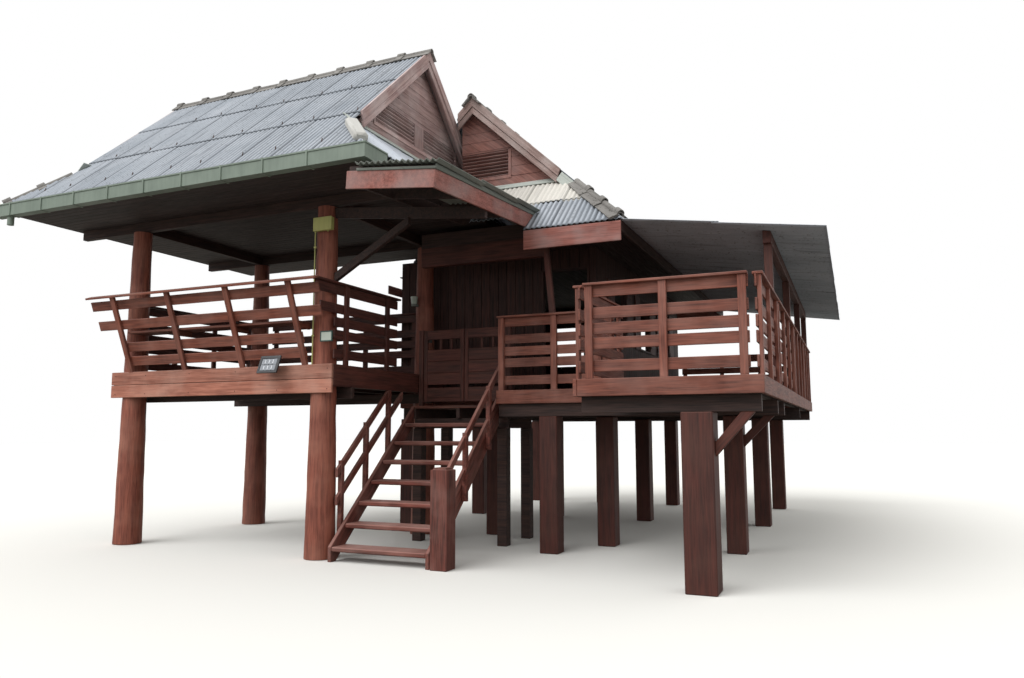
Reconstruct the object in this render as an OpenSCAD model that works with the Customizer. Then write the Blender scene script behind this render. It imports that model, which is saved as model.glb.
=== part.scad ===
// Timber stilt house: an open pavilion with a gablet roof, an outdoor stair with a gate
// at its head, and a gabled house with a veranda behind them, all raised on posts.
// Millimetres, Z up. The origin is the foot of the pavilion's corner post by the stair.
// X runs along the front to the right, Y runs back.

/* [Pavilion] */
// Distance between the pavilion's posts along the front
pav_post_dx = 3480; // [2800:10:4200]
// Distance between the pavilion's posts from front to back
pav_post_dy = 2680; // [2500:10:2700]
// Radius of the log posts at the ground
log_r_foot = 208; // [150:1:209]
// Radius of the log posts at the top
log_r_top = 140; // [110:1:180]
// Deck overhang beyond the post centres at the left and right
deck_over_x = 270; // [265:1:300]
// Deck overhang beyond the post centres at the front and back
deck_over_y = 200; // [180:5:220]
// Height of the deck's top above the ground
deck_z = 2528; // [2500:1:2650]
// Height of the two front and back edge boards together
deck_edge_h = 379; // [300:1:400]
// Height of the single edge board at the sides
deck_side_h = 291; // [240:1:330]
// Thickness of the edge boards of all floors
edge_t = 45; // [25:1:55]
// Thickness of the floor boards
floor_t = 40; // [25:1:50]
// Height of the bearers under the pavilion and the landing
bearer_h = 150; // [100:5:200]
// Width of the joists and the pavilion's bearers
joist_w = 60; // [40:5:80]
// Number of joists under the pavilion
pav_joists = 7; // [4:1:9]

/* [Pavilion railing] */
// Height of the railing above the deck
rail_h = 1100; // [850:10:1200]
// How far the front railing leans out at its top
rail_lean = 420; // [100:10:450]
// Height of each railing board
rail_board_h = 140; // [90:5:150]
// Thickness of each railing board
rail_board_t = 25; // [18:1:40]
// Width of the upright battens
batten_w = 85; // [50:5:110]
// Thickness of the upright battens
batten_t = 40; // [25:1:50]
// Width of the handrail cap
cap_w = 110; // [80:5:130]
// Thickness of the handrail cap
cap_t = 28; // [20:1:40]
// Length of the pavilion's right railing, up to the way in from the landing
right_rail_len = 1560; // [1000:10:1800]

/* [Pavilion roof] */
// Eave overhang beyond the posts at the left and right
pav_over_x = 1401; // [1380:1:1430]
// Eave overhang beyond the posts at the front and back
pav_over_y = 1255; // [1200:1:1300]
// Height of the eave edge
pav_eave_z = 5001; // [4985:1:5200]
// Height of the ridge
pav_ridge_z = 7409; // [7300:1:7600]
// Inset of the gable walls from the left and right eaves
pav_gable_in = 768; // [720:1:900]
// Overhang of the roofs past each gable wall
gable_over = 140; // [110:1:170]
// Vertical thickness of the roof sheets with their battens
roof_t = 50; // [40:1:60]
// Drop of the pavilion's ceiling below the eave edge
soffit_drop = 150; // [120:1:165]
// Thickness of the eave boards
fascia_t = 25; // [18:1:35]
// Thickness of the flat boarded ceilings
ceiling_t = 20; // [15:1:30]
// Height of the eave beams on the posts
eave_beam_h = 150; // [120:5:170]
// Width of the eave beams
eave_beam_w = 90; // [60:5:120]
// Depth of the bargeboards
barge_h = 210; // [170:5:240]
// Thickness of the bargeboards
barge_t = 35; // [25:1:50]
// Radius of the ridge and hip caps
cap_r = 75; // [60:1:90]
// Width of the louvred panel in each pavilion gable
louvre_w = 900; // [600:10:1000]
// Height of the louvred panel in each pavilion gable
louvre_h = 620; // [400:10:700]
// Number of slats in each pavilion louvre
louvre_slats = 10; // [6:1:12]
// Thickness of the gable walls
gable_t = 40; // [30:1:60]

/* [Gutter] */
// Height of the box gutter on the front eave
gutter_h = 185; // [120:5:200]
// Width of the box gutter from front to back
gutter_w = 125; // [90:5:140]
// Thickness of the gutter's metal with its folded edges
gutter_t = 6; // [4:1:10]
// Length of the gutter's return round the right corner
gutter_return = 350; // [200:10:500]

/* [Stair] */
// Outer width of the stair over its stringers
stair_w = 1470; // [1300:10:1600]
// Height of the first tread above the ground
first_rise = 190; // [150:1:220]
// Height of each further step
riser = 262; // [255:1:268]
// Forward distance between steps
going = 290; // [270:1:310]
// Thickness of the treads
tread_t = 60; // [40:1:70]
// Depth of each tread from front to back
tread_d = 320; // [280:1:340]
// Thickness of the stringers
stringer_t = 50; // [40:1:60]
// Vertical depth of the stringers below the line of the steps
stringer_h = 290; // [240:5:320]
// Side of the big newel post at the foot
newel = 230; // [160:5:240]
// Height of the big newel post
newel_h = 1210; // [1100:5:1300]
// Height of the left handrail above the line of the steps
left_rail_h = 775; // [700:5:850]
// Distance between the two left rails
left_rail_gap = 360; // [300:5:400]
// Height of the right handrail above the line of the steps
right_rail_h = 620; // [560:5:700]
// Distance between the two right rails
right_rail_gap = 420; // [360:5:440]
// Height of the rails themselves
stair_rail_w = 110; // [70:5:120]
// Thickness of the rails
stair_rail_t = 42; // [30:1:50]
// Side of the slim posts that carry the rails
rail_post = 62; // [50:1:64]

/* [Landing and gate] */
// Front edge of the landing
landing_y = 1820; // [1790:5:1860]
// Width of the landing beyond the stair's right side
landing_over = 100; // [95:5:160]
// Side of the landing's posts
landing_post = 150; // [100:5:160]
// Distance of the gate behind the landing's front edge
gate_in = 210; // [180:5:240]
// Height of the gate's leaves
gate_h = 1112; // [900:5:1150]
// Thickness of the gate's stiles and rails
gate_t = 40; // [30:1:45]
// Width of the gate's stiles
gate_stile = 62; // [50:1:80]
// Gap under the gate
gate_lift = 66; // [40:1:90]
// Side of the gate's posts
gate_post = 70; // [60:1:80]
// Gap between each leaf and its post
gate_gap = 8; // [6:1:12]
// Gap between the two leaves
gate_mid_gap = 12; // [10:1:16]

/* [Stair roof] */
// Left side of the stair roof's inner beam
lean_x = 1300; // [1290:1:1310]
// Right side of the stair roof's edge board
lean_x_right = 2450; // [2445:1:2600]
// Front face of the stair roof's edge board
lean_y = -1400; // [-1420:1:-1390]
// Height of the front edge board's upper left corner
lean_z = 4610; // [4580:1:4614]
// Rise of the stair roof towards the back, in degrees
lean_rise = 4.06; // [3.2:0.02:4.1]
// Fall of the stair roof towards the right, in degrees
lean_fall = 6.2; // [5:0.1:6.4]
// Height of the stair roof's edge boards
lean_board_h = 205; // [160:5:230]
// Thickness of the stair roof's sheets
lean_t = 30; // [20:1:35]
// Height of the battens between the stair roof's beams and sheets
lean_batten = 62; // [50:1:64]

/* [House] */
// Left outer face of the house
house_x = -620; // [-700:5:-600]
// Width of the house over its walls
house_w = 3520; // [3400:10:3600]
// Front outer face of the house
house_y = 2950; // [2935:5:3000]
// Length of the house from its front wall to its back wall
house_l = 6170; // [5600:10:6600]
// Height of the house's floor above the landing
house_step = 190; // [160:5:220]
// Thickness of the boarded walls
wall_t = 80; // [60:5:100]
// Height of the house's ceiling above the floor
storey_h = 2306; // [2250:2:2320]
// Side of the square house posts
post_w = 260; // [200:5:280]
// Height of the joists under the house and the landing
joist_h = 150; // [120:5:170]
// Height of the bearers under the house
house_bearer_h = 180; // [120:5:200]
// Left side of the front doorway
door_x = 1990; // [1950:5:2010]
// Width of the front doorway
door_w = 800; // [750:5:810]
// Height of the front doorway
door_h = 1990; // [1850:5:2050]
// Height of the window sills above the floor
sill_h = 900; // [700:5:1000]
// Height of the windows
window_h = 1000; // [800:5:1100]
// Width of each window
window_w = 760; // [600:5:770]
// Thickness of the window shutters
shutter_t = 30; // [20:1:40]

/* [House roof] */
// Eave overhang of the house roof at the left and right
house_over_x = 900; // [850:5:950]
// Front eave of the house roof
house_eave_y = 1200; // [1190:5:1230]
// Eave overhang of the house roof at the back
house_over_back = 850; // [700:5:1000]
// Height of the house roof's eave edge
house_eave_z = 4440; // [4420:1:4445]
// Height of the house roof's ridge
house_ridge_z = 6920; // [6800:1:7000]
// Inset of the house's gable walls from the front and back eaves
house_gable_in = 1100; // [1050:5:1200]
// Left end of the front skirt roof's eave
skirt_x = 2410; // [2400:5:2415]
// Height of the house's front eave board
house_fascia_h = 270; // [200:5:290]
// Width of the louvred panel in each house gable
house_louvre_w = 1160; // [800:10:1200]
// Height of the louvred panel in each house gable
house_louvre_h = 440; // [300:10:480]
// Number of slats in each house louvre
house_louvre_slats = 8; // [5:1:9]

/* [Side veranda] */
// Right edge of the side veranda's floor
ver_x = 5690; // [5600:5:5800]
// Front edge of the veranda's floor
ver_y = 1480; // [1450:5:1500]
// Right edge of the side veranda's roof
ver_roof_x = 6300; // [6200:5:6400]
// Fall of the side veranda's roof, in degrees
ver_fall = 8.5; // [7:0.1:9.5]
// Side of the slim veranda posts
slim_post = 100; // [80:5:110]
// Height of the beam under the veranda's roof
ver_beam_h = 150; // [100:5:180]
// Height of the veranda railing above the floor
ver_rail_h = 1060; // [900:5:1100]

/* [Side deck] */
// Left edge of the side deck in front of the veranda
sdeck_x = 3670; // [3600:5:3750]
// Front edge of the side deck
sdeck_y = -450; // [-500:5:-400]
// Centre of the big front post along X
big_post_x = 5000; // [4950:5:5050]
// Side of the big front post
big_post_w = 330; // [280:5:340]
// Distance of the big front post's centre behind the side deck's front edge
big_post_in = 200; // [180:5:260]

/* [Hidden] */
$fn = 40;
gap = 6;      // clearance where a piece passes or ends beside another
joint = 3;    // open joint where two boards of one frame meet at a corner
// Pavilion plan and levels
deck_x0 = -pav_post_dx - deck_over_x;
deck_x1 = deck_over_x;
deck_y0 = -deck_over_y;
deck_y1 = pav_post_dy + deck_over_y;
joist_z0 = deck_z - deck_side_h;
bearer_z0 = joist_z0 - bearer_h;
// Pavilion roof
pe_x0 = -pav_post_dx - pav_over_x;
pe_x1 = pav_over_x;
pe_y0 = -pav_over_y;
pe_y1 = pav_post_dy + pav_over_y;
pav_len = pe_x1 - pe_x0;
pav_depth = pe_y1 - pe_y0;
pav_half = pav_depth / 2;
pav_rise = pav_ridge_z - pav_eave_z;
pav_mid_y = (pe_y0 + pe_y1) / 2;
pav_tan = pav_rise / pav_half;
pav_kink_z = pav_eave_z + pav_tan * pav_gable_in;
pav_barge_in = pav_gable_in - gable_over;
soffit_z = pav_eave_z - soffit_drop;
pav_post_h = soffit_z - eave_beam_h;
// Bargeboards
barge_lift = 22;
barge_drop = barge_h * 1.3;
barge_cut = 70;
cap_past = 25;
// Stair and landing
stair_x0 = deck_x1 + 10;
stair_x1 = stair_x0 + stair_w;
step_slope = riser / going;
treads = 7;
landing_z = first_rise + riser * treads;
stair_y0 = landing_y - going * treads;
landing_x1 = stair_x1 + landing_over;
// Gate
gate_y = landing_y + gate_in;
gate_z = landing_z + gate_lift;
gate_x0 = deck_x1 + 16;
leaf_x0 = gate_x0 + gate_post + gate_gap;
leaf_x1 = landing_x1 - gate_post - gate_gap;
leaf_w = (leaf_x1 - leaf_x0 - gate_mid_gap) / 2;
hinge_r = 8;
hinge_y = gate_y + gate_t + 15 + hinge_r;
hinge_z = [gate_z + 120, gate_z + gate_h - 200];
// House plan and levels
house_x1 = house_x + house_w;
house_y1 = house_y + house_l;
floor_z = landing_z + house_step;
ceiling_z = floor_z + storey_h;
ridge_x = (house_x + house_x1) / 2;
house_joist_z0 = floor_z - floor_t - joist_h;
house_post_h = house_joist_z0 - house_bearer_h;
big_post_y = sdeck_y + big_post_in;
// House roof
he_x0 = house_x - house_over_x;
he_x1 = house_x1 + house_over_x;
he_y0 = house_eave_y;
he_y1 = house_y1 + house_over_back;
house_len = he_y1 - he_y0;
house_span = he_x1 - he_x0;
house_rise = house_ridge_z - house_eave_z;
house_tan = house_rise / (house_span / 2);
house_kink_z = house_eave_z + house_tan * house_gable_in;
house_barge_in = house_gable_in - gable_over;
// Where the house's front skirt roof begins behind the stair roof
behind_lean_y = he_y0 + 300;
// Head beam over the gate
beam_y = gate_y;
beam_t = 100;
beam_h = 300;

wood = "#7a3a2c";
wood_dark = "#4a2a22";
sheet = "#8d9498";
concrete = "#b9b4a8";
gutter_green = "#8c9a88";
iron = "#3a3a3a";

// Straight block between two corners
module block(x0, x1, y0, y1, z0, z1) {
    translate([x0, y0, z0]) cube([x1 - x0, y1 - y0, z1 - z0]);
}

// Solid of a profile drawn in Y and Z, running along X
module along_x(x0, x1, points) {
    translate([x0, 0, 0]) rotate([90, 0, 90]) linear_extrude(x1 - x0) polygon(points);
}

// Solid of a profile drawn in X and Z, running along Y
module along_y(y0, y1, points) {
    translate([0, y1, 0]) rotate([90, 0, 0]) linear_extrude(y1 - y0) polygon(points);
}

// Radius of the log posts at a height
function log_r(z) = log_r_foot + (log_r_top - log_r_foot) * z / pav_post_h;

// Places a piece at each of the pavilion's four posts
module at_pavilion_posts() {
    for (x = [0, -pav_post_dx], y = [0, pav_post_dy])
        translate([x, y, 0]) children();
}

// Space of one log post with a clearance round it
module log_space(clear) {
    cylinder(h = pav_post_h, r1 = log_r_foot + clear, r2 = log_r_top + clear);
}

// Log posts, cut flat where the front and back edge boards lie against them
module pavilion_posts() {
    low = deck_z - deck_edge_h - gap;
    color(wood) difference() {
        at_pavilion_posts() cylinder(h = pav_post_h, r1 = log_r_foot, r2 = log_r_top);
        block(deck_x0, deck_x1, deck_y0, deck_y0 + edge_t, low, deck_z);
        block(deck_x0, deck_x1, deck_y1 - edge_t, deck_y1, low, deck_z);
    }
}

// Two bearers on the inner sides of the posts
module pavilion_bearers() {
    past = 30;
    color(wood_dark) for (y = [log_r_foot + gap, pav_post_dy - log_r_foot - gap - joist_w])
        block(deck_x0 - past, deck_x1 + past, y, y + joist_w, bearer_z0, joist_z0);
}

// Joists across the bearers, the outermost ones between the posts
module pavilion_joists() {
    first = deck_x0 + edge_t + 30;
    last = deck_x1 - edge_t - joist_w - 30;
    color(wood_dark) for (i = [0 : pav_joists - 1]) {
        x = first + (last - first) * i / (pav_joists - 1);
        at_end = i == 0 || i == pav_joists - 1;
        y_in = at_end ? log_r_foot + gap : edge_t - deck_over_y;
        block(x, x + joist_w, y_in, pav_post_dy - y_in, joist_z0, deck_z - floor_t);
    }
}

module pavilion_floor() {
    z0 = deck_z - floor_t;
    color(wood) difference() {
        block(deck_x0 + edge_t, deck_x1 - edge_t, deck_y0 + edge_t, deck_y1 - edge_t, z0, deck_z);
        at_pavilion_posts() translate([0, 0, z0 - 10]) cylinder(h = floor_t + 20, r = log_r(z0) + gap);
    }
}

// Two boards one above the other at the front and back, one deep board at each side
module pavilion_edge_boards() {
    half = deck_edge_h / 2;
    in = edge_t + joint;
    color(wood) {
        for (y = [deck_y0, deck_y1 - edge_t]) {
            block(deck_x0, deck_x1, y, y + edge_t, deck_z - half, deck_z);
            block(deck_x0, deck_x1, y, y + edge_t, deck_z - deck_edge_h, deck_z - half - gap);
        }
        for (x = [deck_x0, deck_x1 - edge_t])
            block(x, x + edge_t, deck_y0 + in, deck_y1 - in, joist_z0, deck_z);
    }
}

// Bottoms of the four boards of the leaning railing, as shares of its height
front_boards = [0.811, 0.556, 0.265, 0.084];
// Bottoms of the five boards of the upright railings
side_boards = [0.855, 0.625, 0.462, 0.308, 0.073];
rail_angle = atan(rail_lean / rail_h);
rail_slant = rail_h / cos(rail_angle);

// Leaning railing on the front edge board, its boards fixed behind four battens
module pavilion_front_railing() {
    x0 = deck_x0 - 100;
    x1 = deck_x1 + 20;
    mid0 = -pav_post_dx + 120;
    mid1 = -175;
    foot = batten_t * tan(rail_angle);
    color(wood) translate([0, deck_y0 + edge_t - 5, deck_z]) rotate([rail_angle, 0, 0]) {
        for (i = [0 : 3]) {
            x = mid0 + (mid1 - mid0) * i / 3;
            block(x - batten_w / 2, x + batten_w / 2, -batten_t, 0, foot, rail_slant - cap_t);
        }
        for (i = [0 : 3]) {
            z = front_boards[i] * rail_slant;
            a = i < 2 ? x0 + 50 * i : mid0 - batten_w / 2;
            b = i < 2 ? x1 - 10 - 40 * i : mid1 + batten_w / 2;
            block(a, b, 0, rail_board_t, z, z + rail_board_h);
        }
        block(x0, x1, -cap_w / 2 - batten_t / 2, cap_w / 2 - batten_t / 2, rail_slant - cap_t, rail_slant);
    }
}

// Upright railing along X from 0 to len: boards towards +Y, battens before them, cap on top
module upright_railing(len, h, battens) {
    cap_y = 12 - batten_t / 2;
    for (s = side_boards)
        block(0, len, 0, rail_board_t, s * h, s * h + rail_board_h * 0.9);
    for (b = battens)
        block(b - batten_w / 2, b + batten_w / 2, -batten_t, 0, 0, h - cap_t);
    block(0, len, cap_y - cap_w / 2, cap_y + cap_w / 2, h - cap_t, h);
}

// Even places for the battens of a railing, n spaces apart
function spread(len, n) = [for (i = [0 : n]) 60 + (len - 120) * i / n];

module pavilion_side_railings() {
    in = batten_t + 4;
    side_len = deck_y1 - deck_y0 - 2 * edge_t - 300;
    back_len = pav_post_dx - 2 * log_r_foot - 2 * gap;
    color(wood) {
        translate([deck_x1 - in, deck_y0 + edge_t + 60, deck_z]) rotate([0, 0, 90])
            upright_railing(right_rail_len, rail_h, [230, right_rail_len - 315]);
        translate([deck_x0 + in, deck_y1 - edge_t - 100, deck_z]) rotate([0, 0, -90])
            upright_railing(side_len, rail_h, spread(side_len, 3));
        translate([-log_r_foot - gap, deck_y1 - edge_t - in, deck_z]) rotate([0, 0, 180])
            upright_railing(back_len, rail_h, spread(back_len, 3));
    }
}

module pavilion_eave_beams() {
    w = eave_beam_w / 2;
    reach = lean_x - 20;
    color(wood_dark) {
        for (y = [0, pav_post_dy])
            block(-pav_post_dx - reach, reach, y - w, y + w, pav_post_h, soffit_z);
        for (x = [0, -pav_post_dx])
            block(x - w, x + w, w + joint, pav_post_dy - w - joint, pav_post_h, soffit_z);
    }
}

module pavilion_ceiling() {
    t = fascia_t;
    color(wood_dark) block(pe_x0 + t, pe_x1 - t, pe_y0 + t, pe_y1 - t, soffit_z, soffit_z + ceiling_t);
}

module pavilion_eave_boards() {
    top = pav_eave_z - roof_t;
    t = fascia_t;
    in = t + joint;
    color(wood_dark) {
        for (y = [pe_y0, pe_y1 - t])
            block(pe_x0, pe_x1, y, y + t, soffit_z, top);
        for (x = [pe_x0, pe_x1 - t])
            block(x, x + t, pe_y0 + in, pe_y1 - in, soffit_z, top);
    }
}

// Two long planes of a gablet roof that run to the ridge, cut along the hips and the rakes.
// Drawn with its ridge along X, one corner at 0 and its eaves at the height 0.
module long_planes(len, depth, rise, inset, t) {
    intersection() {
        along_x(0, len, [[0, -t], [0, 0], [depth / 2, rise], [depth, 0], [depth, -t], [depth / 2, rise - t]]);
        translate([0, 0, -t]) linear_extrude(rise + 2 * t) polygon([
            [0, 0], [len, 0], [len - inset, inset], [len - inset, depth - inset],
            [len, depth], [0, depth], [inset, depth - inset], [inset, inset]
        ]);
    }
}

// The small roof at one end of a gablet roof, between the hips and below the gable
module end_plane(len, depth, rise, gable_in, inset, t) {
    slope = rise / (depth / 2);
    c = t / slope + gap;
    x_in = len - gable_in;
    x_rake = len - inset;
    intersection() {
        along_y(0, depth, [[len, -t], [len, 0], [x_in, slope * gable_in], [x_in, slope * gable_in - t]]);
        translate([0, 0, -t]) linear_extrude(rise + t) polygon([
            [len, gap], [len, depth - gap], [x_rake, depth - inset - gap], [x_rake, depth - inset - c],
            [x_in, depth - gable_in - c], [x_in, gable_in + c], [x_rake, inset + c], [x_rake, inset + gap]
        ]);
    }
}

// Gablet roof: two long planes, and an end plane below the gable at each end
module gablet_roof(len, depth, rise, gable_in, inset, t) {
    long_planes(len, depth, rise, inset, t);
    end_plane(len, depth, rise, gable_in, inset, t);
    translate([len, 0, 0]) mirror([1, 0, 0]) end_plane(len, depth, rise, gable_in, inset, t);
}

module pavilion_roof() {
    color(sheet) translate([pe_x0, pe_y0, pav_eave_z])
        gablet_roof(pav_len, pav_depth, pav_rise, pav_gable_in, pav_barge_in, roof_t);
}

// Space under the pavilion's roof down to the ground, with a clearance above the roof.
// Past is how far the space of the high roof goes beyond the rakes.
module pavilion_roof_space(clear, past) {
    up = pav_eave_z + clear;
    x_a = pe_x0 - clear;
    x_b = pe_x1 + clear;
    y_a = pe_y0 - clear;
    y_b = pe_y1 + clear;
    top = up + pav_rise + pav_tan * clear;
    intersection() {
        along_x(x_a, x_b, [[y_a, 0], [y_a, up], [pav_mid_y, top], [y_b, up], [y_b, 0]]);
        union() {
            along_y(y_a, y_b, [[x_a, 0], [x_a, up], [pe_x0 + pav_gable_in, pav_kink_z + clear],
                [pe_x1 - pav_gable_in, pav_kink_z + clear], [x_b, up], [x_b, 0]]);
            block(pe_x0 + pav_barge_in - past, pe_x1 - pav_barge_in + past, y_a, y_b, 0, pav_ridge_z + 500);
        }
    }
}

// Clearance and reach of the pavilion's roof where the house's roof meets it
module pavilion_valley() {
    pavilion_roof_space(12, barge_t + 70);
}

// Gable wall with a louvred panel, drawn in X and Z with its base's middle at 0 and its
// outer face at 0, facing -Y
module gable_wall(half_w, rise, lou_w, lou_h, slats) {
    t = gable_t;
    sill = 150;
    margin = 220;
    pitch = lou_h / slats;
    slat_t = pitch * 0.3;
    slat_bite = 8;
    slope = rise / half_w;
    rotate([90, 0, 0]) translate([0, 0, -t]) linear_extrude(t) difference() {
        polygon([[-half_w, 0], [half_w, 0], [0, rise]]);
        intersection() {
            translate([-lou_w / 2, sill]) square([lou_w, lou_h]);
            polygon([[margin - half_w, 0], [half_w - margin, 0], [0, rise - margin * slope]]);
        }
    }
    for (i = [0 : slats - 1])
        translate([-lou_w / 2 - slat_bite, t - 3, sill + (i + 0.72) * pitch]) rotate([38, 0, 0])
            translate([0, 4 - t, 0]) cube([lou_w + 2 * slat_bite, t - 4, slat_t]);
}

module pavilion_gables() {
    rise = pav_ridge_z - roof_t - gap - pav_kink_z;
    half = rise / pav_tan;
    color(wood) {
        translate([pe_x1 - pav_gable_in, pav_mid_y, pav_kink_z]) rotate([0, 0, 90])
            gable_wall(half, rise, louvre_w, louvre_h, louvre_slats);
        translate([pe_x0 + pav_gable_in, pav_mid_y, pav_kink_z]) rotate([0, 0, -90])
            gable_wall(half, rise, louvre_w, louvre_h, louvre_slats);
    }
}

// A pair of bargeboards joined at the ridge, drawn in Y and Z from 0 to barge_t along X.
// Their feet stand clear above the end plane that passes below them.
module barge_pair(half, slope, inset) {
    y = half - inset - barge_drop / slope + barge_cut;
    foot = slope * (half - y) + barge_lift;
    top = slope * half + barge_lift;
    toe = foot - barge_drop + slope * barge_cut;
    along_x(0, barge_t, [
        [-y, foot], [0, top], [y, foot], [y, foot - barge_drop * 0.75], [y - barge_cut, toe],
        [0, top - barge_drop], [barge_cut - y, toe], [-y, foot - barge_drop * 0.75]
    ]);
}

module pavilion_bargeboards() {
    color(wood) {
        translate([pe_x1 - pav_barge_in + 2, pav_mid_y, pav_eave_z])
            barge_pair(pav_half, pav_tan, pav_barge_in);
        translate([pe_x0 + pav_barge_in - barge_t - 2, pav_mid_y, pav_eave_z])
            barge_pair(pav_half, pav_tan, pav_barge_in);
    }
}

// Ridge cap along X that rests on the bargeboards at both ends, drawn with the ridge at 0
module ridge_cap_bar(len, slope) {
    seat = barge_lift + 2;
    w = 2 * cap_r;
    low = seat - slope * w;
    difference() {
        translate([0, 0, seat]) rotate([0, 90, 0]) cylinder(h = len, r = cap_r);
        along_x(-1, len + 1, [[-w, low], [0, seat], [w, low], [w, -4 * w], [-w, -4 * w]]);
    }
}

// Round cap along a hip that starts at 0 and climbs over X and Y by the same run
module hip_cap_bar(run, slope, turn) {
    flat = run * sqrt(2);
    tilt = atan(run * slope / flat);
    translate([0, 0, 14]) rotate([0, 0, turn]) rotate([0, 90 - tilt, 0])
        cylinder(h = flat / cos(tilt), r = cap_r);
}

// Ridge cap over both gable ends, and caps along the four hips
module pavilion_roof_caps() {
    end = barge_t + 2 + cap_past;
    x0 = pe_x0 + pav_barge_in - end;
    x1 = pe_x1 - pav_barge_in + end;
    run = pav_barge_in - 40;
    color(concrete) {
        translate([x0, pav_mid_y, pav_ridge_z]) ridge_cap_bar(x1 - x0, pav_tan);
        difference() {
            union() {
                translate([pe_x0, pe_y0, pav_eave_z]) hip_cap_bar(run, pav_tan, 45);
                translate([pe_x0, pe_y1, pav_eave_z]) hip_cap_bar(run, pav_tan, -45);
                translate([pe_x1, pe_y0, pav_eave_z]) hip_cap_bar(run, pav_tan, 135);
                translate([pe_x1, pe_y1, pav_eave_z]) hip_cap_bar(run, pav_tan, -135);
            }
            pavilion_roof_space(1, 0);
        }
    }
}

// Box gutter on the front eave with a short return round the right corner
module pavilion_gutter() {
    y0 = pe_y0 - gutter_w;
    top = pav_eave_z - roof_t - 4;
    z0 = top - gutter_h;
    left = pe_x0 - 40;
    right = pe_x1 + gutter_w;
    t = gutter_t;
    color(gutter_green) difference() {
        union() {
            block(left, right, y0, pe_y0, z0, top);
            block(pe_x1, right, pe_y0 - 1, pe_y0 + gutter_return, z0, top);
        }
        block(left + t, right - t, y0 + t, pe_y0 - t, z0 + t, top + 10);
        block(pe_x1 + t, right - t, pe_y0 - t - 1, pe_y0 + gutter_return - t, z0 + t, top + 10);
    }
}

// Height of the line of the steps at a place along Y
function step_line(y) = first_rise + (y - stair_y0) * step_slope;

// Sloping stringers, cut level at the ground and upright at the landing
module stair_stringers() {
    y_top = landing_y - gap;
    foot_y = stair_y0 + (stringer_h - first_rise) / step_slope;
    color(wood) for (x = [stair_x0, stair_x1 - stringer_t])
        along_x(x, x + stringer_t, [
            [stair_y0, 0], [stair_y0, first_rise], [y_top, step_line(y_top)],
            [y_top, step_line(y_top) - stringer_h], [foot_y, 0]
        ]);
}

module stair_treads() {
    color(wood) for (i = [0 : treads - 1]) {
        y = stair_y0 + i * going;
        z = first_rise + i * riser;
        block(stair_x0 + stringer_t, stair_x1 - stringer_t, y, y + tread_d, z - tread_t, z);
    }
}

// The big square newel at the foot of the stair, its top edges cut back
newel_x = stair_x1 + 25 + newel / 2;
newel_y = stair_y0 - 30 + newel / 2;
module newel_post() {
    n = newel / 2;
    c = 25;
    color(wood) translate([newel_x, newel_y, 0]) {
        block(-n, n, -n, n, 0, newel_h - c);
        block(c - n, n - c, c - n, n - c, newel_h - c, newel_h);
    }
}

// One sloping rail between two places along Y, its top lift above the line of the steps
module sloping_rail(x, y0, y1, lift) {
    low = lift - stair_rail_w;
    along_x(x, x + stair_rail_t, [[y0, step_line(y0) + low], [y0, step_line(y0) + lift],
        [y1, step_line(y1) + lift], [y1, step_line(y1) + low]]);
}

// Slim post of a stair railing beside the stringer, up to a top
module rail_upright(x, y, top) {
    h = rail_post / 2;
    block(x, x + rail_post, y - h, y + h, step_line(y) - stringer_h + 40, top);
}

// Two rails on slim posts at each side. The left ones start at the corner post and stop
// under the deck's side board, the right ones run from the newel to the gate's post.
module stair_railings() {
    left = stair_x0 - gap - rail_post;
    right = stair_x1 + gap;
    y_under = stair_y0 + (joist_z0 - first_rise - left_rail_h) / step_slope;
    y_newel = newel_y + newel / 2;
    y_gate = gate_y - 15;
    color(wood) {
        difference() {
            union() {
                sloping_rail(left + 4, 0, y_under, left_rail_h);
                sloping_rail(left + 4, 0, y_under + left_rail_gap / step_slope, left_rail_h - left_rail_gap);
                for (i = [0 : 2]) {
                    y = stair_y0 + 310 + i * 560;
                    rail_upright(left, y, min(step_line(y) + left_rail_h + 20, joist_z0));
                }
            }
            log_space(2);
        }
        sloping_rail(right, y_newel, y_gate, right_rail_h);
        sloping_rail(right, y_newel, y_gate, right_rail_h - right_rail_gap);
        for (i = [0, 1]) {
            y = stair_y0 + 880 + i * 720;
            rail_upright(right, y, step_line(y) + right_rail_h + 20);
        }
    }
}

module landing_floor() {
    color(wood) block(deck_x1 + gap, landing_x1, landing_y, house_y - gap, landing_z - floor_t, landing_z);
}

// Posts, bearers and joists of the landing
module landing_frame() {
    w = landing_post / 2;
    j0 = landing_z - floor_t - joist_h;
    b0 = j0 - bearer_h;
    x_a = deck_x1 + 16;
    x_b = landing_x1;
    ys = [landing_y + 40 + w, house_y - 60 - w];
    color(wood_dark) {
        for (x = [x_a, x_b - landing_post], y = ys)
            block(x, x + landing_post, y - w, y + w, 0, b0);
        for (y = ys)
            block(x_a, x_b, y - joist_w / 2, y + joist_w / 2, b0, j0);
        for (x = [x_a, (x_a + x_b - joist_w) / 2, x_b - joist_w])
            block(x, x + joist_w, landing_y + 10, house_y - 20, j0, landing_z - floor_t);
    }
}

// Posts of the gate with its four hinge pins, each on a strap on the post's back
module gate_posts() {
    y0 = gate_y - 15;
    y1 = gate_y + gate_t + 15;
    x_pin = [leaf_x0 - gate_gap / 2, leaf_x1 + gate_gap / 2];
    color(wood) for (x = [gate_x0, landing_x1 - gate_post])
        block(x, x + gate_post, y0, y1, landing_z, gate_z + gate_h + 10);
    color(iron) for (z = hinge_z) {
        for (x = x_pin)
            translate([x, hinge_y, z]) cylinder(h = 80, r = hinge_r);
        block(x_pin[0] - 60, x_pin[0], y1, y1 + 6, z + 15, z + 65);
        block(x_pin[1], x_pin[1] + 60, y1, y1 + 6, z + 15, z + 65);
    }
}

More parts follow.
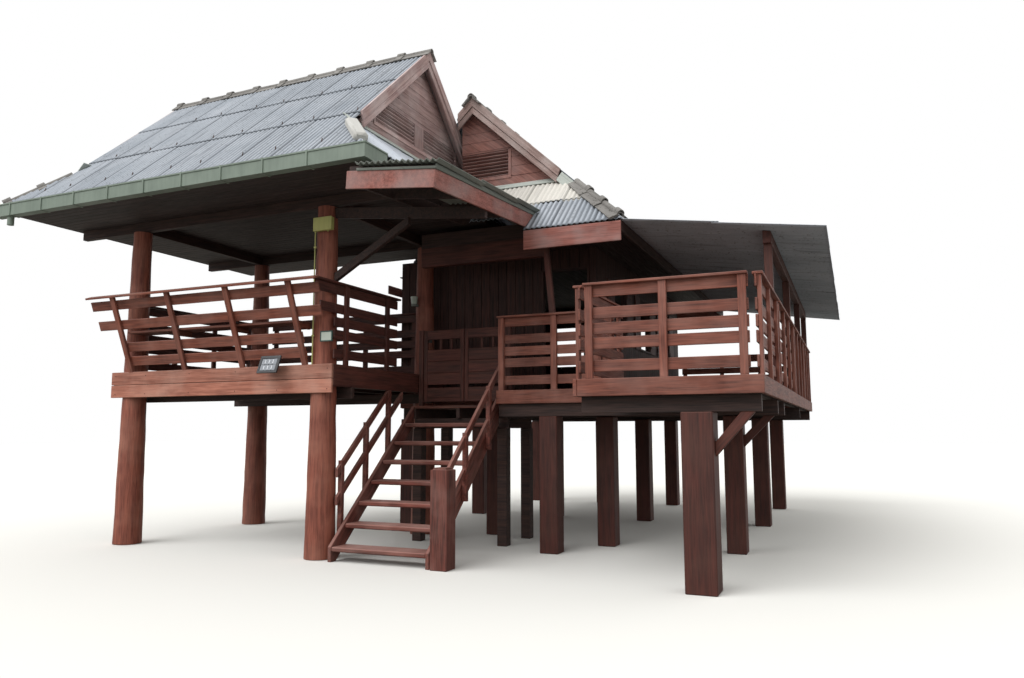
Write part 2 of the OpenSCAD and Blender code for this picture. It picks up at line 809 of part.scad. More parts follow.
// Leaf of the gate from 0 to leaf_w along X: two stiles, boards below and a slotted band above
module gate_leaf() {
    s = gate_stile;
    inner = leaf_w - 2 * s;
    board_in = 6;
    board_out = gate_t - 6;
    foot_rail = 62;
    low_board = 219;
    slot = 46;
    band = 299;
    top_rail = 142;
    for (x = [0, leaf_w - s])
        block(x, x + s, 0, gate_t, 0, gate_h);
    block(s, leaf_w - s, 0, gate_t, 0, foot_rail);
    block(s, leaf_w - s, board_in, board_out, foot_rail, low_board);
    block(s, leaf_w - s, board_in, board_out, low_board + slot, gate_h - band);
    block(s, leaf_w - s, 0, gate_t, gate_h - top_rail, gate_h);
    for (share = [0.4, 0.72]) {
        x = s + inner * share;
        block(x - 18, x + 18, board_in, board_out, gate_h - band, gate_h - top_rail);
    }
}

// Left leaf with two hinge straps on its back
module gate_left_leaf() {
    color(wood) translate([leaf_x0, gate_y, gate_z]) gate_leaf();
    color(iron) for (z = hinge_z)
        block(leaf_x0 + 10, leaf_x0 + 120, gate_y + gate_t, gate_y + gate_t + 6, z + 15, z + 65);
}

// Right leaf, the mirror image of the left one
module gate_right_leaf() {
    color(wood) translate([leaf_x1, gate_y, gate_z]) mirror([1, 0, 0]) gate_leaf();
    color(iron) for (z = hinge_z)
        block(leaf_x1 - 120, leaf_x1 - 10, gate_y + gate_t, gate_y + gate_t + 6, z + 15, z + 65);
}

// Plane of the stair roof: rises to the back and falls to the right
module on_stair_roof() {
    translate([lean_x, lean_y, lean_z]) rotate([lean_rise, 0, 0]) rotate([0, lean_fall, 0]) children();
}
lean_run = (lean_x_right - lean_x) / cos(lean_fall);
lean_depth = (behind_lean_y + 300 - lean_y) / cos(lean_rise);
lean_board_t = 32;

// Space under the house's front skirt roof, kept clear by the stair roof
module skirt_space() {
    y_a = he_y0 - fascia_t - gap;
    y_b = behind_lean_y - gap;
    y_c = he_y0 + 1500;
    up = house_eave_z + gap - house_tan * he_y0;
    top_a = up + house_tan * y_a;
    top_b = up + house_tan * y_b;
    top_c = up + house_tan * y_c;
    along_x(skirt_x - gap, he_x1, [[y_a, 0], [y_a, top_a], [y_c, top_c], [y_c, 0]]);
    along_x(he_x0, skirt_x - gap, [[y_b, 0], [y_b, top_b], [y_c, top_c], [y_c, 0]]);
}

// Corrugated sheets of the stair roof, from beside the pavilion's eave to the house's skirt
module stair_roof() {
    start = (pe_x1 + fascia_t + 20 - lean_x) / cos(lean_fall);
    color(sheet) difference() {
        on_stair_roof() block(start, lean_run + 65, -45, lean_depth, lean_batten, lean_batten + lean_t);
        skirt_space();
    }
}

module stair_roof_edge_boards() {
    t = lean_board_t;
    color(wood) difference() {
        on_stair_roof() {
            block(0, lean_run, 0, t, -lean_board_h, 0);
            block(lean_run - t, lean_run, t, lean_depth, -lean_board_h, 0);
        }
        skirt_space();
    }
}

// Beams and battens under the stair roof, the outrigger from the corner post and its strut
module stair_roof_beams() {
    t = lean_board_t;
    depth = 140;
    out_top = -depth - 15;
    out_low = out_top - 145;
    mid_z = lean_z - lean_y * tan(lean_rise);
    strut_z = deck_z + rail_h + 2;
    rigger_y = -lean_y / cos(lean_rise);
    color(wood_dark) difference() {
        union() {
            on_stair_roof() {
                block(0, 70, t, lean_depth, -depth, 0);
                for (y = [120, 900, 2200])
                    block(70, lean_run - t, y, y + 60, -depth, -20);
                for (y = [50, 1100, 2200])
                    block(0, lean_run - t, y, y + 50, 0, lean_batten);
                for (y = [120, 900, 2200])
                    block(70, 130, y, y + 60, -20, 0);
                block(60 - lean_x, lean_run - t, rigger_y - 35, rigger_y + 35, out_low, out_top);
                block(0, 70, rigger_y - 35, rigger_y + 35, out_top, -depth);
            }
            along_y(-35, 35, [[log_r_top - 20, strut_z], [log_r_top - 20, strut_z + 120],
                [lean_x, mid_z + out_low + 20], [lean_x, mid_z + out_low - 90]]);
        }
        skirt_space();
        log_space(2);
    }
}

// Rows of the square posts from front to back
row_y = [ver_y + 120, house_y - 400, house_y + 2850, house_y1 - 170];
first_row_y = house_y + 130;
// Places of the square posts under the house and the veranda
house_post_places = concat(
    [for (x = [house_x + 150, ridge_x], y = [first_row_y, row_y[2], row_y[3]]) [x, y]],
    [[house_x1 - 260, row_y[0]], [house_x1 + 260, row_y[1]]],
    [[house_x1 - 10, row_y[2]], [house_x1 - 170, row_y[3]]],
    [for (y = [row_y[1], row_y[2], row_y[3]]) [big_post_x - 30, y]]
);

module house_posts() {
    h = post_w / 2;
    b = big_post_w / 2;
    color(wood) {
        for (p = house_post_places)
            block(p[0] - h, p[0] + h, p[1] - h, p[1] + h, 0, house_post_h);
        block(big_post_x - b, big_post_x + b, big_post_y - b, big_post_y + b, 0, house_post_h);
    }
}

// Bearer along X on one row of posts
module bearer_row(x0, x1, y) {
    block(x0, x1, y - 50, y + 50, house_post_h, house_joist_z0);
}

// Joist along Y on top of the bearers
module floor_joist(x, y0) {
    block(x, x + joist_w, y0, house_y1 - edge_t - gap, house_joist_z0, floor_z - floor_t);
}

// Bearers along X on each row of posts
module house_bearers() {
    right = ver_x - edge_t - gap;
    color(wood_dark) {
        bearer_row(sdeck_x + edge_t + gap, right, big_post_y);
        bearer_row(landing_x1 + 20, right, row_y[0]);
        bearer_row(landing_x1 + 20, right, row_y[1]);
        bearer_row(house_x + 20, house_x1 - 20, first_row_y);
        bearer_row(house_x + 20, right, row_y[2]);
        bearer_row(house_x + 20, right, row_y[3]);
    }
}

// Joists along Y on top of the bearers
module house_joists() {
    color(wood_dark) {
        for (x = [house_x + 120, house_x + 1000, ridge_x - 30, ridge_x + 560])
            floor_joist(x, house_y + edge_t);
        for (x = [landing_x1 + 80, house_x1 - 300, house_x1 + 200])
            floor_joist(x, ver_y + edge_t + gap);
        for (x = [sdeck_x + 120, (sdeck_x + ver_x) / 2, ver_x - 180])
            floor_joist(x, sdeck_y + edge_t + gap);
    }
}

module house_floor() {
    e = edge_t;
    color(wood) block(house_x + e, house_x1, house_y + e, house_y1 - e, floor_z - floor_t, floor_z);
}

// Front strip, side strip and side deck, with a narrow joint between them
module veranda_floor() {
    e = edge_t;
    z0 = floor_z - floor_t;
    color(wood) {
        block(landing_x1 + e + gap, house_x1, ver_y + e, house_y + e - joint, z0, floor_z);
        block(house_x1 + joint, ver_x - e, ver_y + e, house_y1 - e, z0, floor_z);
        block(sdeck_x + e, ver_x - e, sdeck_y + e, ver_y + e - joint, z0, floor_z);
    }
}

// Boards round the floors' edges, with an open joint at each corner
module floor_edge_boards() {
    e = edge_t;
    j = joint;
    z0 = house_joist_z0;
    side = landing_x1 + gap;
    color(wood) {
        block(side, sdeck_x - j, ver_y, ver_y + e, z0, floor_z);
        block(side, side + e, ver_y + e + j, house_y - gap, z0, floor_z);
        block(sdeck_x, sdeck_x + e, sdeck_y, ver_y + e - j, z0, floor_z);
        block(sdeck_x + e + j, ver_x, sdeck_y, sdeck_y + e, z0, floor_z);
        block(ver_x - e, ver_x, sdeck_y + e + j, house_y1 - e - j, z0, floor_z);
        block(house_x, ver_x, house_y1 - e, house_y1, z0, floor_z);
        block(house_x, house_x + e, house_y + e + j, house_y1 - e - j, z0, floor_z);
        block(house_x, landing_x1, house_y, house_y + e, landing_z + gap, floor_z);
    }
}

// Boarded wall along X from 0 to len, its outer face at 0, with windows centred at places
module boarded_wall(len, windows) {
    difference() {
        cube([len, wall_t, storey_h]);
        for (at = windows)
            translate([at - window_w / 2, -10, sill_h]) cube([window_w, wall_t + 20, window_h]);
    }
}

// Places of the windows along the side walls, counted from the front, and along the back
side_windows = [house_l * 0.22, house_l * 0.5, house_l * 0.78];
back_windows = [house_w * 0.27, house_w * 0.73];
side_wall_len = house_l - 2 * wall_t;

// Front wall with the doorway onto the veranda
module front_wall() {
    color(wood) translate([house_x, house_y, floor_z]) difference() {
        cube([house_w, wall_t, storey_h]);
        translate([door_x - house_x, -10, -10]) cube([door_w, wall_t + 20, door_h + 10]);
    }
}

module left_wall() {
    color(wood) translate([house_x, house_y1 - wall_t, floor_z]) rotate([0, 0, -90])
        boarded_wall(side_wall_len, [for (w = side_windows) house_l - w - wall_t]);
}

module right_wall() {
    color(wood) translate([house_x1, house_y + wall_t, floor_z]) rotate([0, 0, 90])
        boarded_wall(side_wall_len, [for (w = side_windows) w - wall_t]);
}

module back_wall() {
    color(wood) translate([house_x1, house_y1, floor_z]) rotate([0, 0, 180])
        boarded_wall(house_w, back_windows);
}

// A pair of shutters folded open against a wall whose outer face is at 0 and faces -Y
module open_shutters(at) {
    leaf = window_w / 2 - 4;
    for (x = [at - window_w / 2 - leaf - 4, at + window_w / 2 + 4])
        translate([x, -shutter_t, sill_h]) cube([leaf, shutter_t, window_h]);
}

module window_shutters() {
    color(wood) {
        translate([house_x, house_y1, floor_z]) rotate([0, 0, -90])
            for (w = side_windows) open_shutters(house_l - w);
        translate([house_x1, house_y, floor_z]) rotate([0, 0, 90])
            for (w = side_windows) open_shutters(w);
        translate([house_x1, house_y1, floor_z]) rotate([0, 0, 180])
            for (w = back_windows) open_shutters(w);
    }
}

// Flat ceiling of the house and its eaves, cut back under the pavilion and the stair roof
module house_ceiling() {
    in = 230;
    front = beam_y + beam_t;
    color(wood_dark) translate([0, 0, ceiling_z]) linear_extrude(ceiling_t) polygon([
        [he_x0 + in, pe_y1 + gap], [house_x, pe_y1 + gap], [house_x, house_y], [deck_x1 + 30, house_y],
        [deck_x1 + 30, front], [skirt_x, front], [skirt_x, he_y0 + in], [he_x1 - in, he_y0 + in],
        [he_x1 - in, he_y1 - in], [he_x0 + in, he_y1 - in]
    ]);
}

// Gablet roof with its ridge along Y. It stops at the pavilion's roof and behind the stair roof.
module house_roof() {
    color(sheet) difference() {
        translate([he_x1, he_y0, house_eave_z]) rotate([0, 0, 90])
            gablet_roof(house_len, house_span, house_rise, house_gable_in, house_barge_in, roof_t);
        pavilion_valley();
        block(he_x0 - 10, skirt_x, he_y0 - 10, behind_lean_y, 0, house_ridge_z);
    }
}

module house_gables() {
    rise = house_ridge_z - roof_t - gap - house_kink_z;
    half = rise / house_tan;
    color(wood) {
        difference() {
            translate([ridge_x, he_y0 + house_gable_in, house_kink_z])
                gable_wall(half, rise, house_louvre_w, house_louvre_h, house_louvre_slats);
            pavilion_valley();
        }
        translate([ridge_x, he_y1 - house_gable_in, house_kink_z]) rotate([0, 0, 180])
            gable_wall(half, rise, house_louvre_w, house_louvre_h, house_louvre_slats);
    }
}

module house_bargeboards() {
    half = house_span / 2;
    color(wood) {
        difference() {
            translate([ridge_x, he_y0 + house_barge_in - 2, house_eave_z]) rotate([0, 0, -90])
                barge_pair(half, house_tan, house_barge_in);
            pavilion_valley();
        }
        translate([ridge_x, he_y1 - house_barge_in + 2, house_eave_z]) rotate([0, 0, 90])
            barge_pair(half, house_tan, house_barge_in);
    }
}

// Space under the house's roof planes below the gables, with a clearance above them
module house_hip_space(clear) {
    up = house_eave_z + clear;
    x_a = he_x0 - clear;
    x_b = he_x1 + clear;
    y_a = he_y0 - clear;
    y_b = he_y1 + clear;
    top = up + house_rise + house_tan * clear;
    kink = house_kink_z + clear;
    intersection() {
        along_y(y_a, y_b, [[x_a, 0], [x_a, up], [ridge_x, top], [x_b, up], [x_b, 0]]);
        along_x(x_a, x_b, [[y_a, 0], [y_a, up], [he_y0 + house_gable_in, kink],
            [he_y1 - house_gable_in, kink], [y_b, up], [y_b, 0]]);
    }
}

// Ridge cap over both gable ends, and caps along the right and back hips
module house_roof_caps() {
    end = barge_t + 2 + cap_past;
    y0 = he_y0 + house_barge_in - end;
    y1 = he_y1 - house_barge_in + end;
    run = house_barge_in - 40;
    color(concrete) {
        translate([ridge_x, y0, house_ridge_z]) rotate([0, 0, 90]) ridge_cap_bar(y1 - y0, house_tan);
        difference() {
            union() {
                translate([he_x1, he_y0, house_eave_z]) hip_cap_bar(run, house_tan, 135);
                translate([he_x1, he_y1, house_eave_z]) hip_cap_bar(run, house_tan, -135);
                translate([he_x0, he_y1, house_eave_z]) hip_cap_bar(run, house_tan, -45);
            }
            house_hip_space(1);
            block(he_x1, he_x1 + 400, he_y0 - 400, he_y1 + 400, 0, house_ridge_z);
        }
    }
}

// Eave boards at the front, left and back, and the board above the head beam
module house_eave_boards() {
    top = house_eave_z - roof_t + 10;
    low = top - house_fascia_h;
    t = fascia_t;
    side_low = top - house_fascia_h * 0.6;
    color(wood) {
        block(skirt_x, he_x1, he_y0 - t, he_y0, low, top);
        block(he_x0 - t, he_x0, pe_y1 + 20, he_y1 - joint, side_low, top);
        block(he_x0 - t, he_x1, he_y1, he_y1 + t, side_low, top);
        block(deck_x1 + 30, skirt_x - 10, beam_y, beam_y + t, ceiling_z, ceiling_z + 230);
    }
}

// Sloping underside of the veranda's roof at a place along X
function ver_under(x) = house_eave_z - (x - he_x1) * tan(ver_fall) - lean_t / cos(ver_fall);
ver_beam_x = ver_x - edge_t - slim_post;
ver_post_y = [ver_y + 60, house_y + 1400, house_y + 3900, house_y1 - 170];
front_beam_h = 150;

// Slim posts under the veranda roof's beam, and one leaning post on the front railing
module veranda_posts() {
    w = slim_post;
    top = ver_under(ver_beam_x + w) - ver_beam_h;
    foot_x = house_x1 - 240;
    head_x = foot_x - 100;
    foot_z = floor_z + ver_rail_h;
    head_z = ceiling_z - front_beam_h;
    color(wood) {
        for (y = ver_post_y)
            block(ver_beam_x, ver_beam_x + w, y, y + w, floor_z, top);
        along_y(ver_y + 20, ver_y + 90, [[foot_x, foot_z], [foot_x + 80, foot_z],
            [head_x + 80, head_z], [head_x, head_z]]);
    }
}

// Head beam over the gate, beam along the front eave and beam under the veranda's roof
module veranda_beams() {
    top = ver_under(ver_beam_x + slim_post);
    low = top - ver_beam_h;
    color(wood_dark) {
        block(deck_x1 + 30, skirt_x - 10, beam_y, beam_y + beam_t, ceiling_z - beam_h, ceiling_z);
        block(skirt_x, he_x1 - 300, ver_y + 10, ver_y + 100, ceiling_z - front_beam_h, ceiling_z);
        along_y(ver_y, house_y1, [[ver_beam_x, low], [ver_beam_x + slim_post, low],
            [ver_beam_x + slim_post, top], [ver_beam_x, ver_under(ver_beam_x)]]);
    }
}

// Low-pitched sheets from the house's right eave out over the side veranda
module veranda_roof() {
    x0 = he_x1 + gap;
    t = lean_t / cos(ver_fall);
    color(sheet) along_y(he_y0, he_y1, [[x0, ver_under(x0)], [x0, ver_under(x0) + t],
        [ver_roof_x, ver_under(ver_roof_x) + t], [ver_roof_x, ver_under(ver_roof_x)]]);
}

// Railings of the veranda and the side deck, with the boards towards the floor
module veranda_railings() {
    h = ver_rail_h;
    in = batten_t + 4;
    front_len = sdeck_x - landing_x1 - 110;
    left_len = ver_y - sdeck_y - 150;
    deck_len = ver_x - sdeck_x - 260;
    side_len = ver_post_y[0] - sdeck_y - 70;
    back_len = ver_beam_x - house_x1 - 100;
    color(wood) {
        translate([landing_x1 + 20, ver_y + in, floor_z]) upright_railing(front_len, h, spread(front_len, 2));
        translate([sdeck_x + in, ver_y - 60, floor_z]) rotate([0, 0, -90])
            upright_railing(left_len, h, spread(left_len, 2));
        translate([sdeck_x + 130, sdeck_y + in, floor_z]) upright_railing(deck_len, h, spread(deck_len, 2));
        translate([ver_x - in, sdeck_y + 60, floor_z]) rotate([0, 0, 90])
            upright_railing(side_len, h, spread(side_len, 2));
        for (i = [0 : 2]) {
            len = ver_post_y[i + 1] - ver_post_y[i] - slim_post - 20;
            translate([ver_x - in, ver_post_y[i] + slim_post + 10, floor_z]) rotate([0, 0, 90])
                upright_railing(len, h, spread(len, 3));
        }
        translate([ver_beam_x - 10, house_y1 - in, floor_z]) rotate([0, 0, 180])
            upright_railing(back_len, h, spread(back_len, 3));
    }
}

// Timber brace that rises to the right from a post's side to the bearer above
module brace(x0, y, z0) {
    z1 = house_post_h;
    along_y(y - 45, y + 45, [[x0, z0], [x0, z0 + 150], [x0 + 270, z1], [x0 + 410, z1]]);
}

module side_deck_braces() {
    color(wood) {
        brace(big_post_x + big_post_w / 2, big_post_y, house_post_h - 464);
        brace(big_post_x - 30 + post_w / 2, row_y[1], house_post_h - 424);
    }
}

// Box on the corner post below the eave, with a thin conduit down to the deck
module junction_box() {
    low = 4325;
    face = -log_r(low);
    color("#b9a23c") {
        block(-80, 220, face - 75, face, low, 4510);
        translate([-64, face - 40, deck_z]) cylinder(h = low - deck_z, r = 8);
    }
}

// Small lamp on a bracket on the corner post's front
module flood_lamp() {
    face = -log_r(2820);
    color("#c9d6d2") {
        block(90, 280, face - 60, face - 20, 2820, 2960);
        difference() {
            block(95, 125, face - 20, -60, 2880, 2905);
            log_space(1);
        }
    }
}

// Small tilted panel on a bracket on the front edge board
module solar_panel() {
    color("#20242c") {
        translate([-830, deck_y0 - 205, deck_z - 105]) rotate([-22, 0, 0]) cube([360, 22, 250]);
        block(-675, -625, deck_y0 - 175, deck_y0, deck_z - 75, deck_z - 50);
    }
}

// Round lamp on the inner back post of the pavilion
module wall_lamp() {
    low = 3690;
    color("#d8cfa8") translate([0, pav_post_dy, low]) rotate([0, 0, -25])
        translate([0, -log_r(low) - 62, 0]) cylinder(h = 160, r1 = 45, r2 = 60);
}

pavilion_posts();
pavilion_bearers();
pavilion_joists();
pavilion_floor();
pavilion_edge_boards();
pavilion_front_railing();
pavilion_side_railings();
pavilion_eave_beams();
pavilion_ceiling();
pavilion_eave_boards();
pavilion_roof();
pavilion_gables();
pavilion_bargeboards();
pavilion_roof_caps();
pavilion_gutter();
stair_stringers();
stair_treads();
newel_post();
stair_railings();
landing_floor();
landing_frame();
gate_posts();
gate_left_leaf();
gate_right_leaf();
stair_roof();
stair_roof_edge_boards();
stair_roof_beams();
house_posts();
house_bearers();
house_joists();
house_floor();
veranda_floor();
floor_edge_boards();
front_wall();
left_wall();
right_wall();
back_wall();
window_shutters();
house_ceiling();
house_roof();
house_gables();
house_bargeboards();
house_roof_caps();
house_eave_boards();
veranda_posts();
veranda_beams();
veranda_roof();
veranda_railings();
side_deck_braces();
junction_box();
flood_lamp();
solar_panel();
wall_lamp();
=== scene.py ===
import random
from functools import partial
from math import atan, atan2, ceil, cos, hypot, pi, radians, sin, sqrt, tan

import bpy
import numpy as np
from mathutils import Matrix, Vector


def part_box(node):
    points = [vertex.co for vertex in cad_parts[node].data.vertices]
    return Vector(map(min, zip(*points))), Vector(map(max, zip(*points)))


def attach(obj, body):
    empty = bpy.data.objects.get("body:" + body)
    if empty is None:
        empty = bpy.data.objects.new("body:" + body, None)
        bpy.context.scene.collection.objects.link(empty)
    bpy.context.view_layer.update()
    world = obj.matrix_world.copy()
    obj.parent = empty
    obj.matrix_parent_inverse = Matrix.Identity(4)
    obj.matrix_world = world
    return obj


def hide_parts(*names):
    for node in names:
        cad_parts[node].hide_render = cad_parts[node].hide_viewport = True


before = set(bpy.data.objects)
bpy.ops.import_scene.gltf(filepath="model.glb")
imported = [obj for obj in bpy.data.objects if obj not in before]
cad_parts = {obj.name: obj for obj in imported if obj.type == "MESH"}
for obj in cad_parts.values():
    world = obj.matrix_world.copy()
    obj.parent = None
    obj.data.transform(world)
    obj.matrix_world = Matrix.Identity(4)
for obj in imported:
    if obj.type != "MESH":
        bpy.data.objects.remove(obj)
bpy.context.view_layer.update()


# Log posts of the pavilion. Four peeled tree trunks, thicker at the foot, with dark streaks
# along the grain where the wood has dried. They are stained red-brown and stand on the ground.
def clear_selection():
    if bpy.context.object is not None and bpy.context.object.mode != "OBJECT":
        bpy.ops.object.mode_set(mode="OBJECT")
    bpy.ops.object.select_all(action="DESELECT")


def take(*pieces):
    """Selects only these pieces and makes the first one active."""
    clear_selection()
    for piece in pieces:
        piece.select_set(True)
    bpy.context.view_layer.objects.active = pieces[0]


def pick(piece, kind, test):
    """Opens a piece in edit mode with only the vertices or edges selected that pass a test."""
    take(piece)
    bpy.ops.object.mode_set(mode="EDIT")
    bpy.ops.mesh.select_mode(type=kind)
    bpy.ops.mesh.select_all(action="DESELECT")
    bpy.ops.object.mode_set(mode="OBJECT")
    for part in {"VERT": piece.data.vertices, "EDGE": piece.data.edges}[kind]:
        part.select = test(part)
    bpy.ops.object.mode_set(mode="EDIT")


def modify(piece, kind, **settings):
    """Applies a modifier with its settings to the active piece."""
    made = piece.modifiers.new(kind.lower(), kind)
    for key, value in settings.items():
        setattr(made, key, value)
    bpy.ops.object.modifier_apply(modifier=made.name)


def joined(pieces):
    take(*pieces)
    bpy.ops.object.join()
    return bpy.context.object


def linear(hex_colour):
    """sRGB hex to a linear colour with alpha."""
    parts = [int(hex_colour[i:i + 2], 16) / 255 for i in (1, 3, 5)]
    return tuple(c / 12.92 if c <= 0.04045 else ((c + 0.055) / 1.055) ** 2.4 for c in parts) + (1.0,)


def add_node(tree, kind, links=None, out=0, **settings):
    """Adds a node and gives one of its outputs. Settings are its own, links go to its sockets by
    name or number."""
    made = tree.nodes.new("ShaderNode" + kind)
    for key, value in settings.items():
        setattr(made, key, value)
    for key, value in (links or {}).items():
        socket = made.inputs[key]
        if isinstance(value, bpy.types.NodeSocket):
            tree.links.new(value, socket)
        else:
            socket.default_value = value
    return made.outputs[out] if made.outputs else None


def empty_tree(owner):
    """Clears the nodes of a material or world, and gives add_node for its tree."""
    owner.use_nodes = True
    owner.node_tree.nodes.clear()
    return partial(add_node, owner.node_tree)


def loose_parts(mesh):
    """Vertex places of a mesh, and for each vertex the number of its loose part."""
    count = len(mesh.vertices)
    co = np.empty(count * 3)
    mesh.vertices.foreach_get("co", co)
    edges = np.empty(len(mesh.edges) * 2, int)
    mesh.edges.foreach_get("vertices", edges)
    ends = edges.reshape(-1, 2).T
    part = np.arange(count)
    while True:
        low = np.minimum(part[ends[0]], part[ends[1]])
        new = part.copy()
        np.minimum.at(new, ends[0], low)
        np.minimum.at(new, ends[1], low)
        new = new[new]
        if (new == part).all():
            return co.reshape(-1, 3), part
        part = new


def store(mesh, name, values):
    """Writes one number or one vector for each vertex into an attribute of a mesh."""
    kind, field = ("FLOAT", "value") if values.ndim == 1 else ("FLOAT_VECTOR", "vector")
    mesh.attributes.new(name, kind, "POINT").data.foreach_set(field, values.ravel())


def lay_grain(piece, seed):
    """Gives each loose part its own grain coordinates, the first along its length, and a tone."""
    co, part = loose_parts(piece.data)
    chance = random.Random(seed)
    grain = np.empty((len(co), 3))
    tone = np.empty(len(co))
    for root in np.unique(part):
        of_part = part == root
        points = co[of_part] - co[of_part].mean(0)
        axes = np.linalg.svd(points, full_matrices=False)[2]
        shift = [chance.uniform(0, 40) for _ in range(3)]
        grain[of_part] = points @ axes.T + shift
        tone[of_part] = chance.random()
    store(piece.data, "grain", grain)
    store(piece.data, "tone", tone)


def stained_wood(name, lit, deep, worn, wear=0.35, rough=0.62):
    """Sawn hardwood under an oily red stain: streaks along the grain, boards of uneven tone,
    and a greyer, paler face where sun and rain reach it."""
    made = bpy.data.materials.new(name)
    add = empty_tree(made)
    grain = add("Attribute", out="Vector", attribute_name="grain")
    tone = add("Attribute", out="Fac", attribute_name="tone")
    # Fibres 8 mm wide and about 250 mm long, drawn coarser than real so that they show
    fibre = add("Mapping", {"Vector": grain, "Scale": (4, 120, 120)})
    fibre = add("TexNoise", {"Vector": fibre, "Scale": 1.0, "Detail": 3.0})
    # Figure of the board: bands 40 mm wide and 0.6 m long
    band = add("Mapping", {"Vector": grain, "Scale": (1.7, 25, 25)})
    band = add("TexNoise", {"Vector": band, "Scale": 1.0, "Detail": 2.0})
    streak = add("Math", {0: fibre, 1: band}, operation="ADD")
    streak = add("MapRange", {0: streak, 1: 0.75, 2: 1.25})
    stain = add("Mix", {0: streak, 6: linear(deep), 7: linear(lit)}, out=2, data_type="RGBA")
    # Weather patches about 0.4 m across, stronger on faces that look up
    place = add("TexCoord", out="Object")
    patch = add("TexNoise", {"Vector": place, "Scale": 2.4, "Detail": 4.0})
    normal = add("NewGeometry", out="Normal")
    up = add("SeparateXYZ", {0: normal}, out="Z")
    up = add("MapRange", {0: up, 1: 0.2, 2: 0.9, 3: 0.0, 4: 0.5})
    share = add("MapRange", {0: patch, 1: 0.42, 2: 0.72, 3: 0.0, 4: wear})
    share = add("Math", {0: share, 1: up}, operation="ADD", use_clamp=True)
    colour = add("Mix", {0: share, 6: stain, 7: linear(worn)}, out=2, data_type="RGBA")
    shade = add("MapRange", {0: tone, 1: 0.0, 2: 1.0, 3: 0.78, 4: 1.18})
    colour = add("VectorMath", {0: colour, 3: shade}, operation="SCALE")
    bump = add("Bump", {"Height": fibre, "Strength": 0.35, "Distance": 0.0015})
    dull = add("MapRange", {0: fibre, 1: 0.3, 2: 0.7, 3: rough + 0.08, 4: rough - 0.08})
    wood = add("BsdfPrincipled", {"Base Color": colour, "Roughness": dull, "Normal": bump, "IOR": 1.47})
    add("OutputMaterial", {"Surface": wood})
    return made


def fit(piece, name, material, node=None, grain=None, smooth=None, body="house"):
    """Gives a finished piece its name, material, smooth shading up to an angle, grain from a seed,
    body, and the node of the frame that it replaces."""
    piece.name = name
    piece.data.name = name
    piece.data.materials.clear()
    piece.data.materials.append(material)
    if smooth is not None:
        take(piece)
        bpy.ops.object.shade_smooth_by_angle(angle=radians(smooth))
        piece.select_set(False)
    if grain is not None:
        lay_grain(piece, grain)
    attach(piece, body)
    if node:
        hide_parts(node)


log_stain = stained_wood("log_stain", "#9b5744", "#693529", "#b07a66", wear=0.4)
post_foot, post_top, post_high = 0.208, 0.140, 4.701
left_x, back_y = -3.48, 2.68
bark_lumps = bpy.data.textures.new("bark_lumps", "CLOUDS")
bark_lumps.noise_scale = 0.32
logs = []
for x, y in ((0.0, 0.0), (left_x, 0.0), (0.0, back_y), (left_x, back_y)):
    clear_selection()
    bpy.ops.mesh.primitive_cone_add(vertices=36, radius1=post_foot, radius2=post_top, depth=post_high,
                                    location=(x, y, post_high / 2))
    log = bpy.context.object
    bpy.ops.object.transform_apply()
    heights = [v.co.z for v in log.data.vertices]
    pick(log, "EDGE", lambda line: abs(heights[line.vertices[0]] - heights[line.vertices[1]]) > 1.0)
    bpy.ops.mesh.subdivide(number_cuts=30)
    bpy.ops.object.mode_set(mode="OBJECT")
    modify(log, "DISPLACE", texture=bark_lumps, texture_coords="LOCAL", strength=0.024, mid_level=0.85)
    logs.append(log)
fit(joined(logs), "log_posts", log_stain, "pavilion_posts", grain=11, smooth=40)


# Bearers and joists under the pavilion. Sawn dark hardwood, the bearers bolted to the inner
# sides of the logs and sticking out a little, the joists across them.
def open_all(piece):
    """Opens a piece in edit mode with all of it selected."""
    take(piece)
    bpy.ops.object.mode_set(mode="EDIT")
    bpy.ops.mesh.select_all(action="SELECT")


def sawn(node, ease=0.004):
    """A piece in the shape of the frame's own timbers, merged, its flats joined, its arrises eased."""
    piece = bpy.data.objects.new(node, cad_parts[node].data.copy())
    bpy.context.scene.collection.objects.link(piece)
    open_all(piece)
    bpy.ops.mesh.remove_doubles(threshold=0.0002)
    bpy.ops.mesh.dissolve_limited(angle_limit=radians(2))
    bpy.ops.mesh.select_all(action="DESELECT")
    bpy.ops.mesh.edges_select_sharp(sharpness=radians(30))
    bpy.ops.mesh.bevel(offset=ease, segments=1, affect="EDGES", clamp_overlap=True)
    bpy.ops.object.mode_set(mode="OBJECT")
    return piece


def fit_sawn(node, name, stain, grain, ease=0.004):
    fit(sawn(node, ease), name, stain, node, grain)


# Dark stain, made darker still as painted shade for the timbers under the roofs and floors.
dark_stain_and_shade = stained_wood("dark_stain_and_shade", "#442d27", "#241917", "#54403a", wear=0.15, rough=0.7)
fit_sawn("pavilion_bearers", "deck_bearers", dark_stain_and_shade, 21)
fit_sawn("pavilion_joists", "deck_joists", dark_stain_and_shade, 22)


# Deck boards of the pavilion. Hardwood boards 140 mm wide laid along the front with 4 mm
# joints and nailed to the joists, notched round the logs.
def boards(rows, ease=0.004):
    """One piece of sawn boards. Each row is a middle, the size along X, Y and Z, and a turn."""
    clear_selection()
    bpy.ops.mesh.primitive_plane_add(size=1)
    piece = bpy.context.object
    open_all(piece)
    bpy.ops.mesh.delete(type="VERT")
    for middle, size, turn in rows:
        bpy.ops.mesh.primitive_cube_add(size=1, location=middle, rotation=turn, scale=size)
    bpy.ops.mesh.select_all(action="SELECT")
    bpy.ops.mesh.bevel(offset=ease, segments=1, affect="EDGES")
    bpy.ops.object.mode_set(mode="OBJECT")
    return piece


